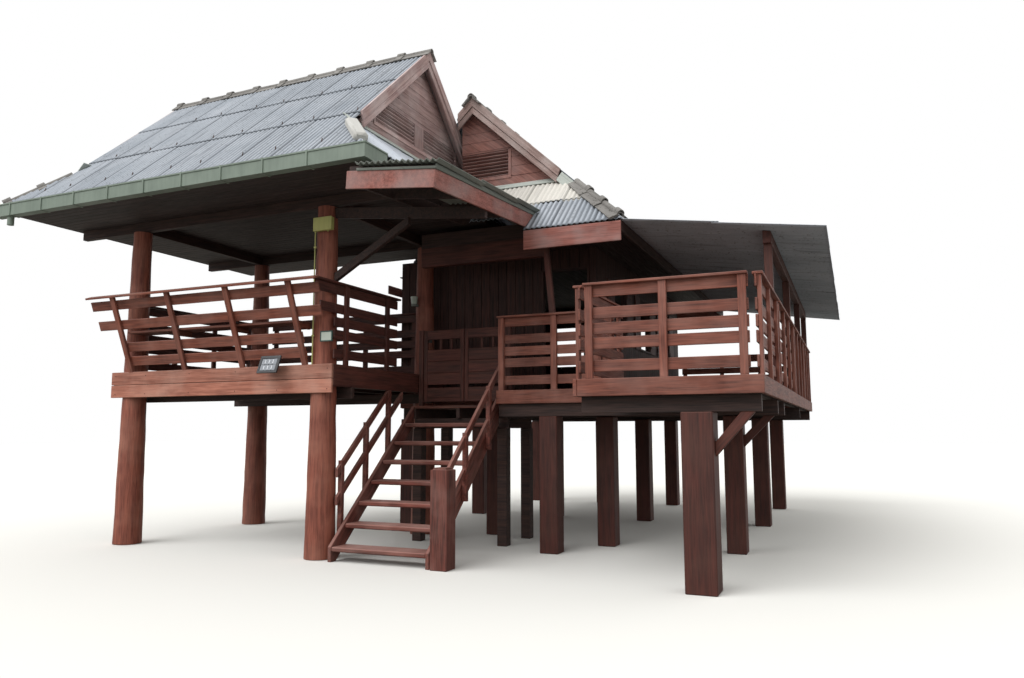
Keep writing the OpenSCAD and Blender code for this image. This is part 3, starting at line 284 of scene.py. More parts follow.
def span(x0, x1, y0, y1, z0, z1, place=Matrix()):
    """A board between two corners as a row for boards(), set at its place by a matrix."""
    middle = Vector(((x0 + x1) / 2, (y0 + y1) / 2, (z0 + z1) / 2))
    return place @ middle, (x1 - x0, y1 - y0, z1 - z0), place.to_euler()


def strips(start, end, cover, joint=0.004):
    """Start and end of each strip when a width is filled with strips of about one cover."""
    count = max(1, round((end - start) / cover))
    step = (end - start) / count
    return [(start + i * step + joint / 2, start + (i + 1) * step - joint / 2) for i in range(count)]


floor_stain = stained_wood("floor_stain", "#6a3c30", "#38201a", "#7f5a4e", wear=0.45)
board_w, notch = 0.14, 0.185
(dx0, dy0, dz0), (dx1, dy1, dz1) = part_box("pavilion_floor")
rows = []
for y0, y1 in strips(dy0, dy1, board_w):
    ends = [dx0, dx1]
    if any(y0 < y + notch and y1 > y - notch for y in (0, back_y)):
        ends = [dx0, left_x - notch, left_x + notch, -notch, notch, dx1]
    rows += [span(a, b, y0, y1, dz0, dz1) for a, b in zip(ends[::2], ends[1::2])]
fit(boards(rows), "deck_boards", floor_stain, "pavilion_floor", grain=31)


# Edge boards of the pavilion's deck. Planed boards nailed to the joists' ends, two one above
# the other in front and behind, one at each side. The front ones are bleached by the sun; the
# others have a darker copy of the stain as painted shade.
def cut_away(piece, point, normal):
    """Saws a piece along a plane and takes away the side that the normal points to."""
    open_all(piece)
    bpy.ops.mesh.bisect(plane_co=point, plane_no=Vector(normal).normalized(), use_fill=True, clear_outer=True)
    bpy.ops.object.mode_set(mode="OBJECT")
    return piece


def twin(piece):
    """A copy of a piece with its own mesh."""
    other = bpy.data.objects.new(piece.name, piece.data.copy())
    bpy.context.scene.collection.objects.link(other)
    return other


# A darker copy of the red stain, as painted shade on timber that lies in shade: the deck's side edge boards,
# the upright railings, the gate and the veranda's beams.
painted_shade_stain = stained_wood("painted_shade_stain", "#62332a", "#381d17", "#6e463b", wear=0.25)
edge_stain = stained_wood("edge_stain", "#b4745f", "#7f4938", "#bd9484", wear=0.5)
(_, ey0, ez0), (_, _, ez1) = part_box("pavilion_edge_boards")
behind_front = (0, ey0 + 0.035, 0)
edge = sawn("pavilion_edge_boards", ease=0.006)
side_edge = cut_away(twin(edge), behind_front, (0, -1, 0))
fit(cut_away(edge, behind_front, (0, 1, 0)), "deck_edge_boards", edge_stain, "pavilion_edge_boards", grain=41)
nail = (0.012, 0.006, 0.012)
rows = [((x, ey0 - 0.001, z), nail, (0, pi / 4, 0)) for x in (-3.66, -3.05, -2.20, -1.35, -0.62, 0.20)
        for z in (ez0 + 0.05, ez1 - 0.06)]
fit(boards(rows, ease=0.002), "edge_board_nails", dark_stain_and_shade, "pavilion_edge_boards", grain=42)
# The side edge boards take the darker stain as painted shade.
fit(side_edge, "deck_side_edge_boards", painted_shade_stain, "pavilion_edge_boards", grain=43)


# Leaning railing on the front of the deck. Four boards and a flat cap nailed behind four
# battens that lean out; the upper two boards run past the corners. A flat board on short
# arms lies behind it at arm's height.
rail_stain = stained_wood("rail_stain", "#8a4c3a", "#552b20", "#a2766a", wear=0.4)
deck_top, lean_pivot = 2.528, -0.160
lean_out, rail_high = 0.420, 1.100
lean = atan(lean_out / rail_high)
slant = rail_high / cos(lean)


def on_lean(x0, x1, y0, y1, z0, z1):
    """A board of the leaning railing, given in the railing's own upright frame."""
    middle, size, _ = span(x0, x1, y0, y1, z0, z1)
    middle.rotate(Matrix.Rotation(lean, 4, "X"))
    return middle + Vector((0, lean_pivot, deck_top)), size, (lean, 0, 0)


batten_w, batten_t, board_h, board_t, cap_t = 0.085, 0.040, 0.140, 0.025, 0.028
batten_at = [-3.36 + i * (3.185 / 3) for i in range(4)]
rows = [on_lean(x - batten_w / 2, x + batten_w / 2, -batten_t, 0, 0.0, slant - cap_t) for x in batten_at]
for share, x0, x1 in ((0.811, -3.85, 0.28), (0.556, -3.80, 0.24), (0.265, -3.4025, -0.1325),
                      (0.084, -3.4025, -0.1325)):
    rows.append(on_lean(x0, x1, 0, board_t, share * slant, share * slant + board_h))
rows.append(on_lean(-3.85, 0.29, -0.075, 0.035, slant - cap_t, slant))
shelf_z = deck_top + 0.555
rows.append(span(-3.29, -0.21, -0.345, -0.035, shelf_z, shelf_z + 0.032))
rows += [span(x - 0.060, x - 0.020, -0.350, -0.060, shelf_z - 0.070, shelf_z) for x in batten_at[1:]]
fit(boards(rows), "leaning_railing", rail_stain, "pavilion_front_railing", grain=51)


# Upright railings of the pavilion at the right, left and back. Five boards nailed to
# battens, with a flat cap. The right one runs on at its top to meet the leaning railing.
def upright_rail(foot, turn, length, high, battens):
    """Rows for an upright railing along its own X from a foot point, turned about Z."""
    made = []
    spin = Matrix.Rotation(turn, 4, "Z")

    def lay(x0, x1, y0, y1, z0, z1):
        middle, size, _ = span(x0, x1, y0, y1, z0, z1)
        made.append((spin @ middle + Vector(foot), size, (0, 0, turn)))

    for share in (0.855, 0.625, 0.462, 0.308, 0.073):
        lay(0, length, 0, board_t, share * high, share * high + 0.126)
    for b in battens:
        lay(b - batten_w / 2, b + batten_w / 2, -batten_t, 0, 0, high - cap_t)
    lay(0, length, -0.063, 0.047, high - cap_t, high)
    return made


def evenly(length, spaces):
    return [0.06 + (length - 0.12) * i / spaces for i in range(spaces + 1)]


quarter = pi / 2
rows = upright_rail((0.226, -0.095, deck_top), quarter, 1.56, rail_high, [0.23, 1.245])
rows += [span(0.201, 0.226, -0.515, -0.099, deck_top + 0.9405, deck_top + 1.0665),
         span(0.201, 0.226, -0.405, -0.099, deck_top + 0.6875, deck_top + 0.8135),
         span(0.179, 0.289, -0.545, -0.099, deck_top + rail_high - cap_t, deck_top + rail_high)]
side_length, back_length = 3.08 - 0.09 - 0.30, 3.48 - 2 * 0.208 - 0.012
rows += upright_rail((-3.706, 2.735, deck_top), -quarter, side_length, rail_high, evenly(side_length, 3))
rows += upright_rail((-0.214, 2.791, deck_top), pi, back_length, rail_high, evenly(back_length, 3))
# The upright railings take the darker stain as painted shade.
fit(boards(rows), "upright_railings", painted_shade_stain, "pavilion_side_railings", grain=61)


# Eave beams on the logs, and the boarded ceiling above them. Dark stained hardwood, painted
# darker still as shade under the roof; the ceiling boards are 120 mm wide with a shadow joint,
# nailed up under the rafters.
ceiling_stain_and_shade = stained_wood("ceiling_stain_and_shade", "#433532", "#292120", "#4a3d3b", wear=0.1, rough=0.7)
ceiling_w, ceiling_joint = 0.12, 0.005
fit_sawn("pavilion_eave_beams", "pavilion_beams", dark_stain_and_shade, 71)
(cx0, cy0, cz0), (cx1, cy1, cz1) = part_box("pavilion_ceiling")
rows = [span(cx0, cx1, y0, y1, cz0, cz1) for y0, y1 in strips(cy0, cy1, ceiling_w, ceiling_joint)]
fit(boards(rows), "pavilion_ceiling_boards", ceiling_stain_and_shade, "pavilion_ceiling", 72)
fit_sawn("pavilion_eave_boards", "pavilion_fascia", dark_stain_and_shade, 73)


# Roof sheets of the pavilion. Grey fibre cement sheets with 76 mm waves, 0.62 m cover and
# 1.26 m long, laid in three rows that lap 90 mm and are nailed to battens. Sun and moss have
# left them blue-grey with dark streaks that run down the slope. Small hooks hold them at the
# joints.
wave, wave_deep, sheet_cover, sheet_t = 0.0775, 0.0098, 0.62, 0.006


def weathered_cement(name, pale, grey, dark, moss="#4c4f49", moss_share=0.5, troughs=0.0):
    """Fibre cement left out for years: dust-pale crests, grey body, dark runs and lichen spots.
    On wavy sheets the troughs are darker, and painted shadow lies along the laps and along the
    overlapping side edges."""
    made = bpy.data.materials.new(name)
    add = empty_tree(made)
    slope = add("Attribute", out="Vector", attribute_name="grain")
    tone = add("Attribute", out="Fac", attribute_name="tone")
    # Runs of dirt about 60 mm wide and 1 m long down the slope
    run = add("Mapping", {"Vector": slope, "Scale": (1.0, 16, 16)})
    run = add("TexNoise", {"Vector": run, "Scale": 1.0, "Detail": 5.0})
    place = add("TexCoord", out="Object")
    cloud = add("TexNoise", {"Vector": place, "Scale": 1.1, "Detail": 5.0})
    spots = add("TexNoise", {"Vector": place, "Scale": 28.0, "Detail": 3.0})
    mix = add("Math", {0: run, 1: cloud}, operation="ADD")
    mix = add("MapRange", {0: mix, 1: 0.7, 2: 1.3})
    colour = add("Mix", {0: mix, 6: linear(grey), 7: linear(pale)}, out=2, data_type="RGBA")
    dirt_and_painted_shade = add("MapRange", {0: run, 1: 0.56, 2: 0.74, 3: 0.0, 4: 0.75})
    colour = add("Mix", {0: dirt_and_painted_shade, 6: colour, 7: linear(dark)}, out=2, data_type="RGBA")
    lichen = add("MapRange", {0: spots, 1: 0.6, 2: 0.68, 3: 0.0, 4: moss_share})
    colour = add("Mix", {0: lichen, 6: colour, 7: linear(moss)}, out=2, data_type="RGBA")
    if troughs:
        # Darker in the troughs; painted shadow along each lap and along each sheet's overlapping side edges.
        spot = add("Attribute", out="Vector", attribute_name="spot")
        up, across, high = [add("SeparateXYZ", {0: spot}, out=axis) for axis in "XYZ"]
        deep = add("MapRange", {0: high, 1: -0.004, 2: -0.0165, 3: 0.0, 4: troughs})
        lap = add("MapRange", {0: up, 1: 0.015, 2: 0.045, 3: 1.0, 4: 0.0})
        side = add("MapRange", {0: across, 1: 0.625, 2: 0.650, 3: 0.0, 4: 0.9})
        dash = add("MapRange", {0: high, 1: 0.0, 2: -0.012, 3: 0.25, 4: 1.0})
        lap = add("Math", {0: lap, 1: dash}, operation="MULTIPLY")
        dirt_and_painted_shade = add("Math", {0: lap, 1: side}, operation="MAXIMUM")
        dirt_and_painted_shade = add("Math", {0: dirt_and_painted_shade, 1: deep}, operation="MAXIMUM")
        colour = add("Mix", {0: dirt_and_painted_shade, 6: colour, 7: linear(dark)}, out=2, data_type="RGBA")
    shade = add("MapRange", {0: tone, 1: 0.0, 2: 1.0, 3: 0.95, 4: 1.05})
    colour = add("VectorMath", {0: colour, 3: shade}, operation="SCALE")
    bump = add("Bump", {"Height": spots, "Strength": 0.3, "Distance": 0.002})
    cement = add("BsdfPrincipled", {"Base Color": colour, "Roughness": 0.88, "Normal": bump, "IOR": 1.5})
    add("OutputMaterial", {"Surface": cement})
    return made


def wavy_sheet(long, waves=8.5):
    """One sheet with its lower edge on X, its left edge at 0, crests at height 0, running up +Y."""
    clear_selection()
    steps = int(waves * 6)
    bpy.ops.mesh.primitive_grid_add(x_subdivisions=steps, y_subdivisions=1, size=1)
    sheet = bpy.context.object
    sheet.scale = (steps * wave / 6, long, 1)
    sheet.location = (steps * wave / 12, long / 2, -wave_deep)
    bpy.ops.object.transform_apply()
    for phases, lift in (((0,), 1.0), ((1, 5), 0.5), ((2, 4), -0.5), ((3,), -1.0)):
        pick(sheet, "VERT", lambda vertex: round(vertex.co.x / (wave / 6)) % 6 in phases)
        bpy.ops.transform.translate(value=(0, 0, lift * wave_deep))
        bpy.ops.object.mode_set(mode="OBJECT")
    modify(sheet, "SOLIDIFY", thickness=sheet_t, offset=-1.0)
    return sheet


def laid_out(pieces):
    """Pieces joined to one, each with its place put into its mesh."""
    take(*pieces)
    bpy.ops.object.transform_apply()
    return joined(pieces)


def sheet_field(length, slope_length, rows, place, seed, lap=0.09):
    """Rows of sheets from the eave up, laid from the right so that each laps its neighbour,
    then set at the place by a matrix. Grain runs down the slope."""
    exposure = slope_length / rows
    pattern = wavy_sheet(exposure + lap)
    count = len(pattern.data.vertices)
    co = np.empty(count * 3)
    pattern.data.vertices.foreach_get("co", co)
    across, up, high = co.reshape(-1, 3).T
    top = high.copy()
    top[count // 2:] = 0.0
    chance = random.Random(seed)
    laid = []
    for row in range(rows):
        for column in range(ceil(length / sheet_cover)):
            sheet = twin(pattern)
            grain = [up + chance.uniform(0, 30), across + chance.uniform(0, 30), high]
            store(sheet.data, "grain", np.stack(grain, 1))
            store(sheet.data, "spot", np.stack([up, across, top], 1))
            store(sheet.data, "tone", np.full(count, chance.random()))
            sheet.rotation_euler = (-atan(2.2 * sheet_t / exposure), -atan(1.1 * sheet_t / sheet_cover), 0)
            sheet.location = (column * sheet_cover, row * exposure + chance.uniform(-0.006, 0.006),
                              2.2 * sheet_t + chance.uniform(-0.0015, 0.0015))
            laid.append(sheet)
    bpy.data.objects.remove(pattern)
    field = laid_out(laid)
    field.matrix_world = place
    bpy.ops.object.transform_apply()
    return field


def slope_place(corner, along, pitch):
    """Matrix that puts a field's lower left corner at a point, its eave along a heading about Z."""
    return Matrix.Translation(corner) @ Matrix.Rotation(along, 4, "Z") @ Matrix.Rotation(pitch, 4, "X")


def gablet_sheets(corner, heading, length, depth, rise, gable_in, rake_in, rows, seed, end_rows=1):
    """All sheets of a hip-and-gable roof with its ridge along its own X: two long slopes, each
    with the tips beyond its rakes, sawn along the hips, and a low slope under each gable."""
    pitch = atan2(rise, depth / 2)
    frame_at = Matrix.Translation(corner) @ Matrix.Rotation(heading, 4, "Z")
    out = 0.03
    start = (-0.05, -out * cos(pitch), -out * sin(pitch))

    def saw(piece, point, normal):
        cut_away(piece, frame_at @ Vector(point), frame_at.to_3x3() @ Vector(normal))

    made = []
    for side, y0, sign_y in ((0, 0, 1), (1, depth, -1)):
        local = slope_place(start, 0, pitch)
        if side:
            local = (Matrix.Translation((length, depth, 0)) @ Matrix.Rotation(pi, 4, "Z")) @ local
        field = sheet_field(length + 0.1, hypot(depth / 2, rise) + out, rows, frame_at @ local, seed + side)
        tips = []
        for x0, rake_x, sign_x in ((0, rake_in, -1), (length, length - rake_in, 1)):
            tip = twin(field)
            saw(tip, (rake_x, 0, 0), (-sign_x, 0, 0))
            saw(tip, (x0, y0, 0), (sign_x, sign_y, 0))
            saw(field, (rake_x, 0, 0), (sign_x, 0, 0))
            tips.append(tip)
        saw(field, (0, depth / 2, 0), (0, sign_y, 0))
        made.append([field] + tips)
    end_length = hypot(gable_in, gable_in * tan(pitch)) + out
    for end, x0, y0, gable_x, sign_x in ((0, 0, depth, gable_in, 1), (1, length, 0, length - gable_in, -1)):
        local = (Matrix.Translation((x0, y0, 0)) @ Matrix.Rotation(-sign_x * pi / 2, 4, "Z")
                 @ slope_place(start, 0, pitch))
        field = sheet_field(depth + 0.1, end_length, end_rows, frame_at @ local, seed + 7 + end)
        saw(field, (x0, 0, 0), (sign_x, -1, 0))
        saw(field, (x0, depth, 0), (sign_x, 1, 0))
        saw(field, (gable_x, 0, 0), (sign_x, 0, 0))
        made.append(field)
    return made


roof_cement = weathered_cement("roof_cement", "#b5bac2", "#989fa8", "#555a61", troughs=0.7)
new_cement = weathered_cement("new_cement", "#cdd3dc", "#b4bac4", "#8a8f98", moss_share=0.2, troughs=0.45)
eave_left, eave_right, eave_front, eave_back = -4.881, 1.401, -1.255, 3.935
roof_length, roof_half, roof_rise, gable_in, rake_in, roof_slope = 6.282, 2.595, 2.408, 0.768, 0.628, 0.92794
front_slope, back_slope, left_low, right_low = gablet_sheets(
    (eave_left, eave_front, 5.001), 0.0, roof_length, 2 * roof_half, roof_rise, gable_in, rake_in, 3, 81)
fit(joined(front_slope + back_slope + [left_low]), "pavilion_sheets", roof_cement, "pavilion_roof",
    smooth=50)
slope_turn = atan2(roof_rise, roof_half)
rows = []
for row, up in enumerate((0.24, 1.24, 2.40)):
    for column in range(11):
        x = -4.931 + (column + 1) * sheet_cover + 0.045 * (-1) ** column
        middle = Vector((x, eave_front + up * cos(slope_turn), 5.024 + up * sin(slope_turn)))
        if -4.75 + 0.55 * row < x < 1.25 - 0.45 * row:
            rows.append((middle, (0.010, 0.060, 0.014), (slope_turn + 0.25, 0, 0.5)))
fit(boards(rows, ease=0.001), "sheet_hooks", dark_stain_and_shade, grain=82)
fit(right_low, "pavilion_right_low_sheets", new_cement, "pavilion_roof", smooth=50)


# Gables of the pavilion. Horizontal boards on a frame, with a louvre of thin tilted slats in
# the lower part, halved by a plain upright board, and one deep board at the foot. The stain
# has faded to a greyish pink.
def gable_boards(place, half, rise, opening_w, opening_h, slats, post):
    """Rows for one gable drawn in X and Z with its outer face at 0, set at the place by a matrix."""
    made = []
    sill, margin, thick, inner = 0.15, 0.06, 0.04, 0.03
    side_x = opening_w / 2
    high = sill + opening_h

    def lay(*corners, tilt=0.0):
        middle, size, turn = span(*corners, place)
        if tilt:
            turn = (place @ Matrix.Rotation(tilt, 4, "X")).to_euler()
        made.append((middle, size, turn))

    lay(-half, half, 0.0, thick, 0.0, sill - 0.006)
    for z0, z1 in strips(sill, rise, 0.155):
        wide = half * (1 - z0 / rise)
        if z0 < high - 0.001 and z1 > sill:
            if z1 > high + 0.01:
                lay(-min(wide, side_x), min(wide, side_x), 0.004, thick, high, z1)
            for x0, x1 in ((-wide, -side_x), (side_x, wide)):
                if x1 - x0 > 0.03:
                    lay(x0, x1, 0.004, thick, z0, z1)
        else:
            lay(-wide, wide, 0.004, thick, z0, z1)
    pitch = opening_h / slats
    for i in range(slats):
        z = sill + (i + 0.5) * pitch
        wide = min(side_x, (half - margin) * (1 - (z + pitch) / (rise - margin * rise / half)))
        for x0, x1 in ((-wide, -post), (post, wide)):
            lay(x0, x1, 0.002, 0.054, z - 0.007, z + 0.007, tilt=radians(-30))
    if post:
        lay(-post, post, -0.004, thick, sill, high)
    for x in (-side_x, side_x):
        lay(x - 0.025, x + 0.025, -0.008, inner, sill, high)
    lay(-side_x - 0.025, side_x + 0.025, -0.012, inner, sill - 0.03, sill + 0.02)
    for side in (-1, 1):
        made.append((place @ Vector((side * half * 0.5, 0.018, rise * 0.5 - 0.055)),
                     (hypot(half, rise), 0.036, 0.09),
                     (place @ Matrix.Rotation(side * atan2(rise, half), 4, "Y")).to_euler()))
    return made


def trimmed_gable(place, half, rise, opening_w, opening_h, slats, post=0.0):
    """A gable's boards sawn off along both rakes and along the foot."""
    piece = boards(gable_boards(place, half, rise, opening_w, opening_h, slats, post), ease=0.002)
    up = place.to_3x3()
    for side in (-1, 1):
        cut_away(piece, place @ Vector((side * half, 0, -0.035)), up @ Vector((side * rise, 0, half)))
    return cut_away(piece, place @ Vector((0, 0, 0)), up @ Vector((0, 0, -1)))


def turned_at(point, turn):
    """Matrix for a place at a point, turned about Z."""
    return Matrix.Translation(point) @ Matrix.Rotation(turn, 4, "Z")


faded_stain = stained_wood("faded_stain", "#b99c97", "#8b6f6e", "#cdbfbe", wear=0.6, rough=0.75)
ridge_y, kink_z, gable_rise = 1.340, 5.7136, 1.639
gable_right, gable_left, gable_half = 0.633, -4.113, gable_rise / roof_slope
louvre_w, louvre_h, louvre_slats = 2.4, 0.38, 7
gables = [trimmed_gable(turned_at((x, ridge_y, kink_z), turn), gable_half, gable_rise,
                        louvre_w, louvre_h, louvre_slats, post=0.13)
          for x, turn in ((gable_right, quarter), (gable_left, -quarter))]
fit(joined(gables), "pavilion_gable_boards", faded_stain, "pavilion_gables", grain=91)


# Bargeboards of the pavilion. On each rake a deep upper board, and a second one set back below
# it, with a thin shadow gap between them; they meet in a plumb joint at the ridge. A thin
# board closes the verge under the sheets back to the gable.
def barge_boards(place, half, slope, inset):
    """One pair of double bargeboards drawn in Y and Z from 0 to 35 mm along X, set by a matrix."""
    pitch = atan(slope)
    foot_y = half - inset - 0.273 / slope + 0.07
    top = slope * half + 0.022
    along = 0.5 * (foot_y + 0.1) / cos(pitch)
    heading = place.to_3x3()
    made = []
    for side in (-1, 1):
        turned = (place @ Matrix.Rotation(-side * pitch, 4, "X")).to_euler()
        rows = []
        for deep0, deep1, x0, x1 in ((0.0, 0.112, 0.0, 0.035), (0.118, 0.198, -0.012, 0.018),
                                     (0.042, 0.056, -0.145, -0.002)):
            middle = (deep0 + deep1) / 2
            y = along * cos(pitch) - middle * sin(pitch)
            z = top - along * sin(pitch) - middle * cos(pitch)
            centre = place @ Vector(((x0 + x1) / 2, side * y, z))
            rows.append((centre, (x1 - x0, 2 * along + 0.5, deep1 - deep0), turned))
        piece = boards(rows, ease=0.003)
        cut_away(piece, place @ Vector((0, 0, 0)), heading @ Vector((0, -side, 0)))
        cut_away(piece, place @ Vector((0, side * foot_y, top - slope * foot_y)),
                 heading @ Vector((0, side, -0.35)))
        made.append(piece)
    return made


barges = [piece for x, z, turn in ((0.775, 4.990, 0), (-4.255, 4.975, pi))
          for piece in barge_boards(turned_at((x, ridge_y, z), turn), roof_half, roof_slope, rake_in)]
fit(joined(barges), "pavilion_barges", faded_stain, "pavilion_bargeboards", grain=92)


# Ridge and hip caps of the pavilion. Cast cement caps about 0.6 m long with a round roll, two
# flat wings and a raised collar that laps the next one, bedded in pale mortar. The right hips
# are closed by plain mortar blocks, and grey metal flashing lies along the gable's foot.
def cap_tile(long, slope, roll=0.036, wing=0.10):
    """One cap along +X from 0, its roll's middle line at height 0, wings down both sides."""
    clear_selection()
    bpy.ops.mesh.primitive_cylinder_add(vertices=16, radius=roll, depth=long, location=(long / 2, 0, 0),
                                        rotation=(0, quarter, 0), end_fill_type="NOTHING")
    tile = bpy.context.object
    bpy.ops.object.transform_apply()
    open_all(tile)
    bpy.ops.mesh.bisect(plane_co=(0, 0, -roll * 0.25), plane_no=(0, 0, -1), clear_outer=True)
    bpy.ops.object.mode_set(mode="OBJECT")
    for side in (-1, 1):
        low = [v.co.z < -roll * 0.24 and 0 < v.co.y * side < roll * 1.1 for v in tile.data.vertices]
        pick(tile, "EDGE", lambda line: low[line.vertices[0]] and low[line.vertices[1]])
        bpy.ops.mesh.extrude_edges_move(TRANSFORM_OT_translate={"value": (0, side * wing, -wing * slope)})
        bpy.ops.object.mode_set(mode="OBJECT")
    modify(tile, "SOLIDIFY", thickness=0.012, offset=1.0)
    collar = twin(tile)
    for vertex in collar.data.vertices:
        vertex.co.x = vertex.co.x / long * 0.12
        vertex.co.y *= 1.15
        vertex.co.z = vertex.co.z * 1.25 + 0.020
    return joined([tile, collar])


def cap_run(start, end, slope, seed, lift=0.0):
    """Caps laid from a start to an end point, each turned to the line between them."""
    start, end = Vector(start), Vector(end)
    way = end - start
    count = max(1, round(way.length / 0.60))
    long = way.length / count
    pattern = cap_tile(long + 0.02, slope)
    chance = random.Random(seed)
    x_axis = way.normalized()
    y_axis = Vector((0, 0, 1)).cross(x_axis).normalized()
    base = Matrix((x_axis, y_axis, x_axis.cross(y_axis))).transposed().to_4x4()
    laid = []
    for i in range(count):
        tile = twin(pattern)
        jog = Vector((0, chance.uniform(-0.006, 0.006), chance.uniform(-0.003, 0.008) + lift))
        tilt = Matrix.Rotation(radians(chance.uniform(-1.2, 0.4)), 4, "Y")
        tile.matrix_world = Matrix.Translation(start + x_axis * long * i + base.to_3x3() @ jog) @ base @ tilt
        laid.append(tile)
    bpy.data.objects.remove(pattern)
    return laid_out(laid)


cap_cement = weathered_cement("cap_cement", "#918e8a", "#6e6b68", "#454340", moss="#403e39", moss_share=0.9)
cap_slope, hip_slope, cap_z, hip_run = 0.928, 0.55, 7.386, 0.60
runs = [cap_run((eave_left + rake_in - 0.06, ridge_y, cap_z), (eave_right - rake_in + 0.06, ridge_y, cap_z),
                cap_slope, 101)]
for y, sy, seed in ((eave_front, 1, 104), (eave_back, -1, 102)):
    top = (eave_left + hip_run, y + sy * hip_run, 4.972 + hip_run * cap_slope)
    runs.append(cap_run((eave_left, y, 4.972), top, hip_slope, seed))
fit(joined(runs), "pavilion_caps", cap_cement, "pavilion_roof_caps", grain=103, smooth=35)

mortar = weathered_cement("pale_mortar", "#cbcac6", "#b6b4af", "#8f8d86", moss_share=0.15)
tilt, block_in = atan(cap_slope / sqrt(2)), 0.29
rows = []
for y, sy in ((eave_front, 1), (eave_back, -1)):
    turn = (Matrix.Rotation(atan2(sy, -1), 4, "Z") @ Matrix.Rotation(-tilt, 4, "Y")).to_euler()
    middle = (eave_right - block_in, y + sy * block_in, 5.020 + block_in * cap_slope)
    rows.append((middle, (0.82, 0.17, 0.12), turn))
fit(boards(rows, ease=0.03), "hip_mortar_blocks", mortar, grain=104, smooth=40)

tin = weathered_cement("grey_tin_flashing", "#c6ccc6", "#a4aaa4", "#747a74", moss_share=0.1)
rows = [((x + sx * 0.070, ridge_y, kink_z - 0.040), (0.17, 2 * gable_half + 0.34, 0.012),
         (0, sx * atan(cap_slope), 0)) for x, sx in ((gable_right, 1), (gable_left, -1))]
fit(boards(rows, ease=0.002), "pavilion_flashing", tin, grain=105)


# Box gutter on the pavilion's front eave. Folded sheet metal painted sage green, with a rolled
# lip, straps over it every 0.66 m and a short outlet near its left end.
def painted_metal(name, colour, worn, rough=0.45):
    """Brushed-on enamel on sheet metal, chalky in places, with faint rain streaks."""
    made = bpy.data.materials.new(name)
    add = empty_tree(made)
    place = add("TexCoord", out="Object")
    cloud = add("TexNoise", {"Vector": place, "Scale": 3.0, "Detail": 4.0})
    streak = add("Mapping", {"Vector": place, "Scale": (22, 22, 2)})
    streak = add("TexNoise", {"Vector": streak, "Scale": 1.0, "Detail": 3.0})
    both = add("Math", {0: cloud, 1: streak}, operation="ADD")
    share = add("MapRange", {0: both, 1: 0.85, 2: 1.3, 3: 0.0, 4: 0.7})
    mixed = add("Mix", {0: share, 6: linear(colour), 7: linear(worn)}, out=2, data_type="RGBA")
    dull = add("MapRange", {0: cloud, 1: 0.3, 2: 0.7, 3: rough, 4: rough + 0.2})
    paint = add("BsdfPrincipled", {"Base Color": mixed, "Roughness": dull, "IOR": 1.5})
    add("OutputMaterial", {"Surface": paint})
    return made


def rod(radius, start, end, sides=16):
    """A round bar between two points."""
    start, end = Vector(start), Vector(end)
    clear_selection()
    bpy.ops.mesh.primitive_cylinder_add(vertices=sides, radius=radius, depth=(end - start).length,
                                        location=(start + end) / 2,
                                        rotation=(end - start).to_track_quat("Z", "Y").to_euler())
    bpy.ops.object.transform_apply()
    return bpy.context.object


gutter_paint = painted_metal("gutter_paint", "#788579", "#69756b")
(gx0, gy0, gz0), (gx1, _, gz1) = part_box("pavilion_gutter")
rows = [span(gx0, gx1 - 0.012, gy0 - 0.010, gy0 + 0.012, gz1 - 0.020, gz1),
        span(gx1 - 0.012, gx1 + 0.010, gy0 - 0.010, -0.905, gz1 - 0.020, gz1)]
for i in range(9):
    x = gx0 + 0.35 + i * 0.66
    for corners in ((gy0 - 0.013, gy0 + 0.002, gz0 - 0.006, gz1 + 0.004),
                    (gy0 - 0.013, -1.20, gz1, gz1 + 0.006),
                    (gy0 - 0.010, -1.23, gz0 - 0.006, gz0)):
        rows.append(span(x - 0.014, x + 0.014, *corners))
outlet = rod(0.045, (gx0 + 0.28, -1.31, gz0 - 0.125), (gx0 + 0.28, -1.31, gz0 + 0.005), 20)
fit(joined([sawn("pavilion_gutter", ease=0.002), boards(rows, ease=0.002), outlet]), "gutter", gutter_paint,
    "pavilion_gutter", smooth=30)


# Stair. Two sloping stringers that stand on the ground, seven thick treads housed between
# them with rounded, worn noses, a square newel with a stepped top, and two flat rails a side.
stair_stain = stained_wood("stair_stain", "#844539", "#46241d", "#a37a70", wear=0.45)
for number, (node, name, ease) in enumerate([
        ("stair_stringers", "stair_stringers", 0.005), ("stair_treads", "stair_treads", 0.013),
        ("newel_post", "newel_post", 0.007), ("stair_railings", "sloping_railings", 0.004)]):
    fit_sawn(node, name, stair_stain, 111 + number, ease)


# Landing behind the stair's head. Planks 140 mm wide across bearers and joists on four posts.
def slab_boxes(node):
    """Lowest and highest corner of each solid in a node of the frame."""
    slab = sawn(node, ease=0.0005)
    co, part = loose_parts(slab.data)
    bpy.data.objects.remove(slab)
    return [(co[part == root].min(0), co[part == root].max(0)) for root in np.unique(part)]


def planks(node, along_y):
    """Planks that fill each slab of a floor in the frame, running along Y or along X."""
    rows = []
    for (x0, y0, z0), (x1, y1, z1) in slab_boxes(node):
        if along_y:
            rows += [span(a, b, y0, y1, z0, z1) for a, b in strips(x0, x1, board_w)]
        else:
            rows += [span(x0, x1, a, b, z0, z1) for a, b in strips(y0, y1, board_w)]
    return boards(rows)


fit(planks("landing_floor", along_y=False), "landing_planks", floor_stain, "landing_floor", grain=121)
fit_sawn("landing_frame", "landing_timbers", dark_stain_and_shade, 122, 0.006)


# Gate at the stair's head. Two framed leaves with boards, an open slot and a band of short
# uprights, on black iron straps that turn on pins fixed to two slim posts.
iron = painted_metal("black_iron", "#2b2826", "#4a3a30", rough=0.55)
hinge_left, hinge_right, hinge_y, pin_heights = 0.360, 1.776, 2.093, (2.210, 3.002)
leaf_foot, stile = 2.090, 0.062
rows = [span(x0, x1, 2.015, 2.085, 2.024, 3.212) for x0, x1 in ((0.286, 0.356), (1.780, 1.850))]
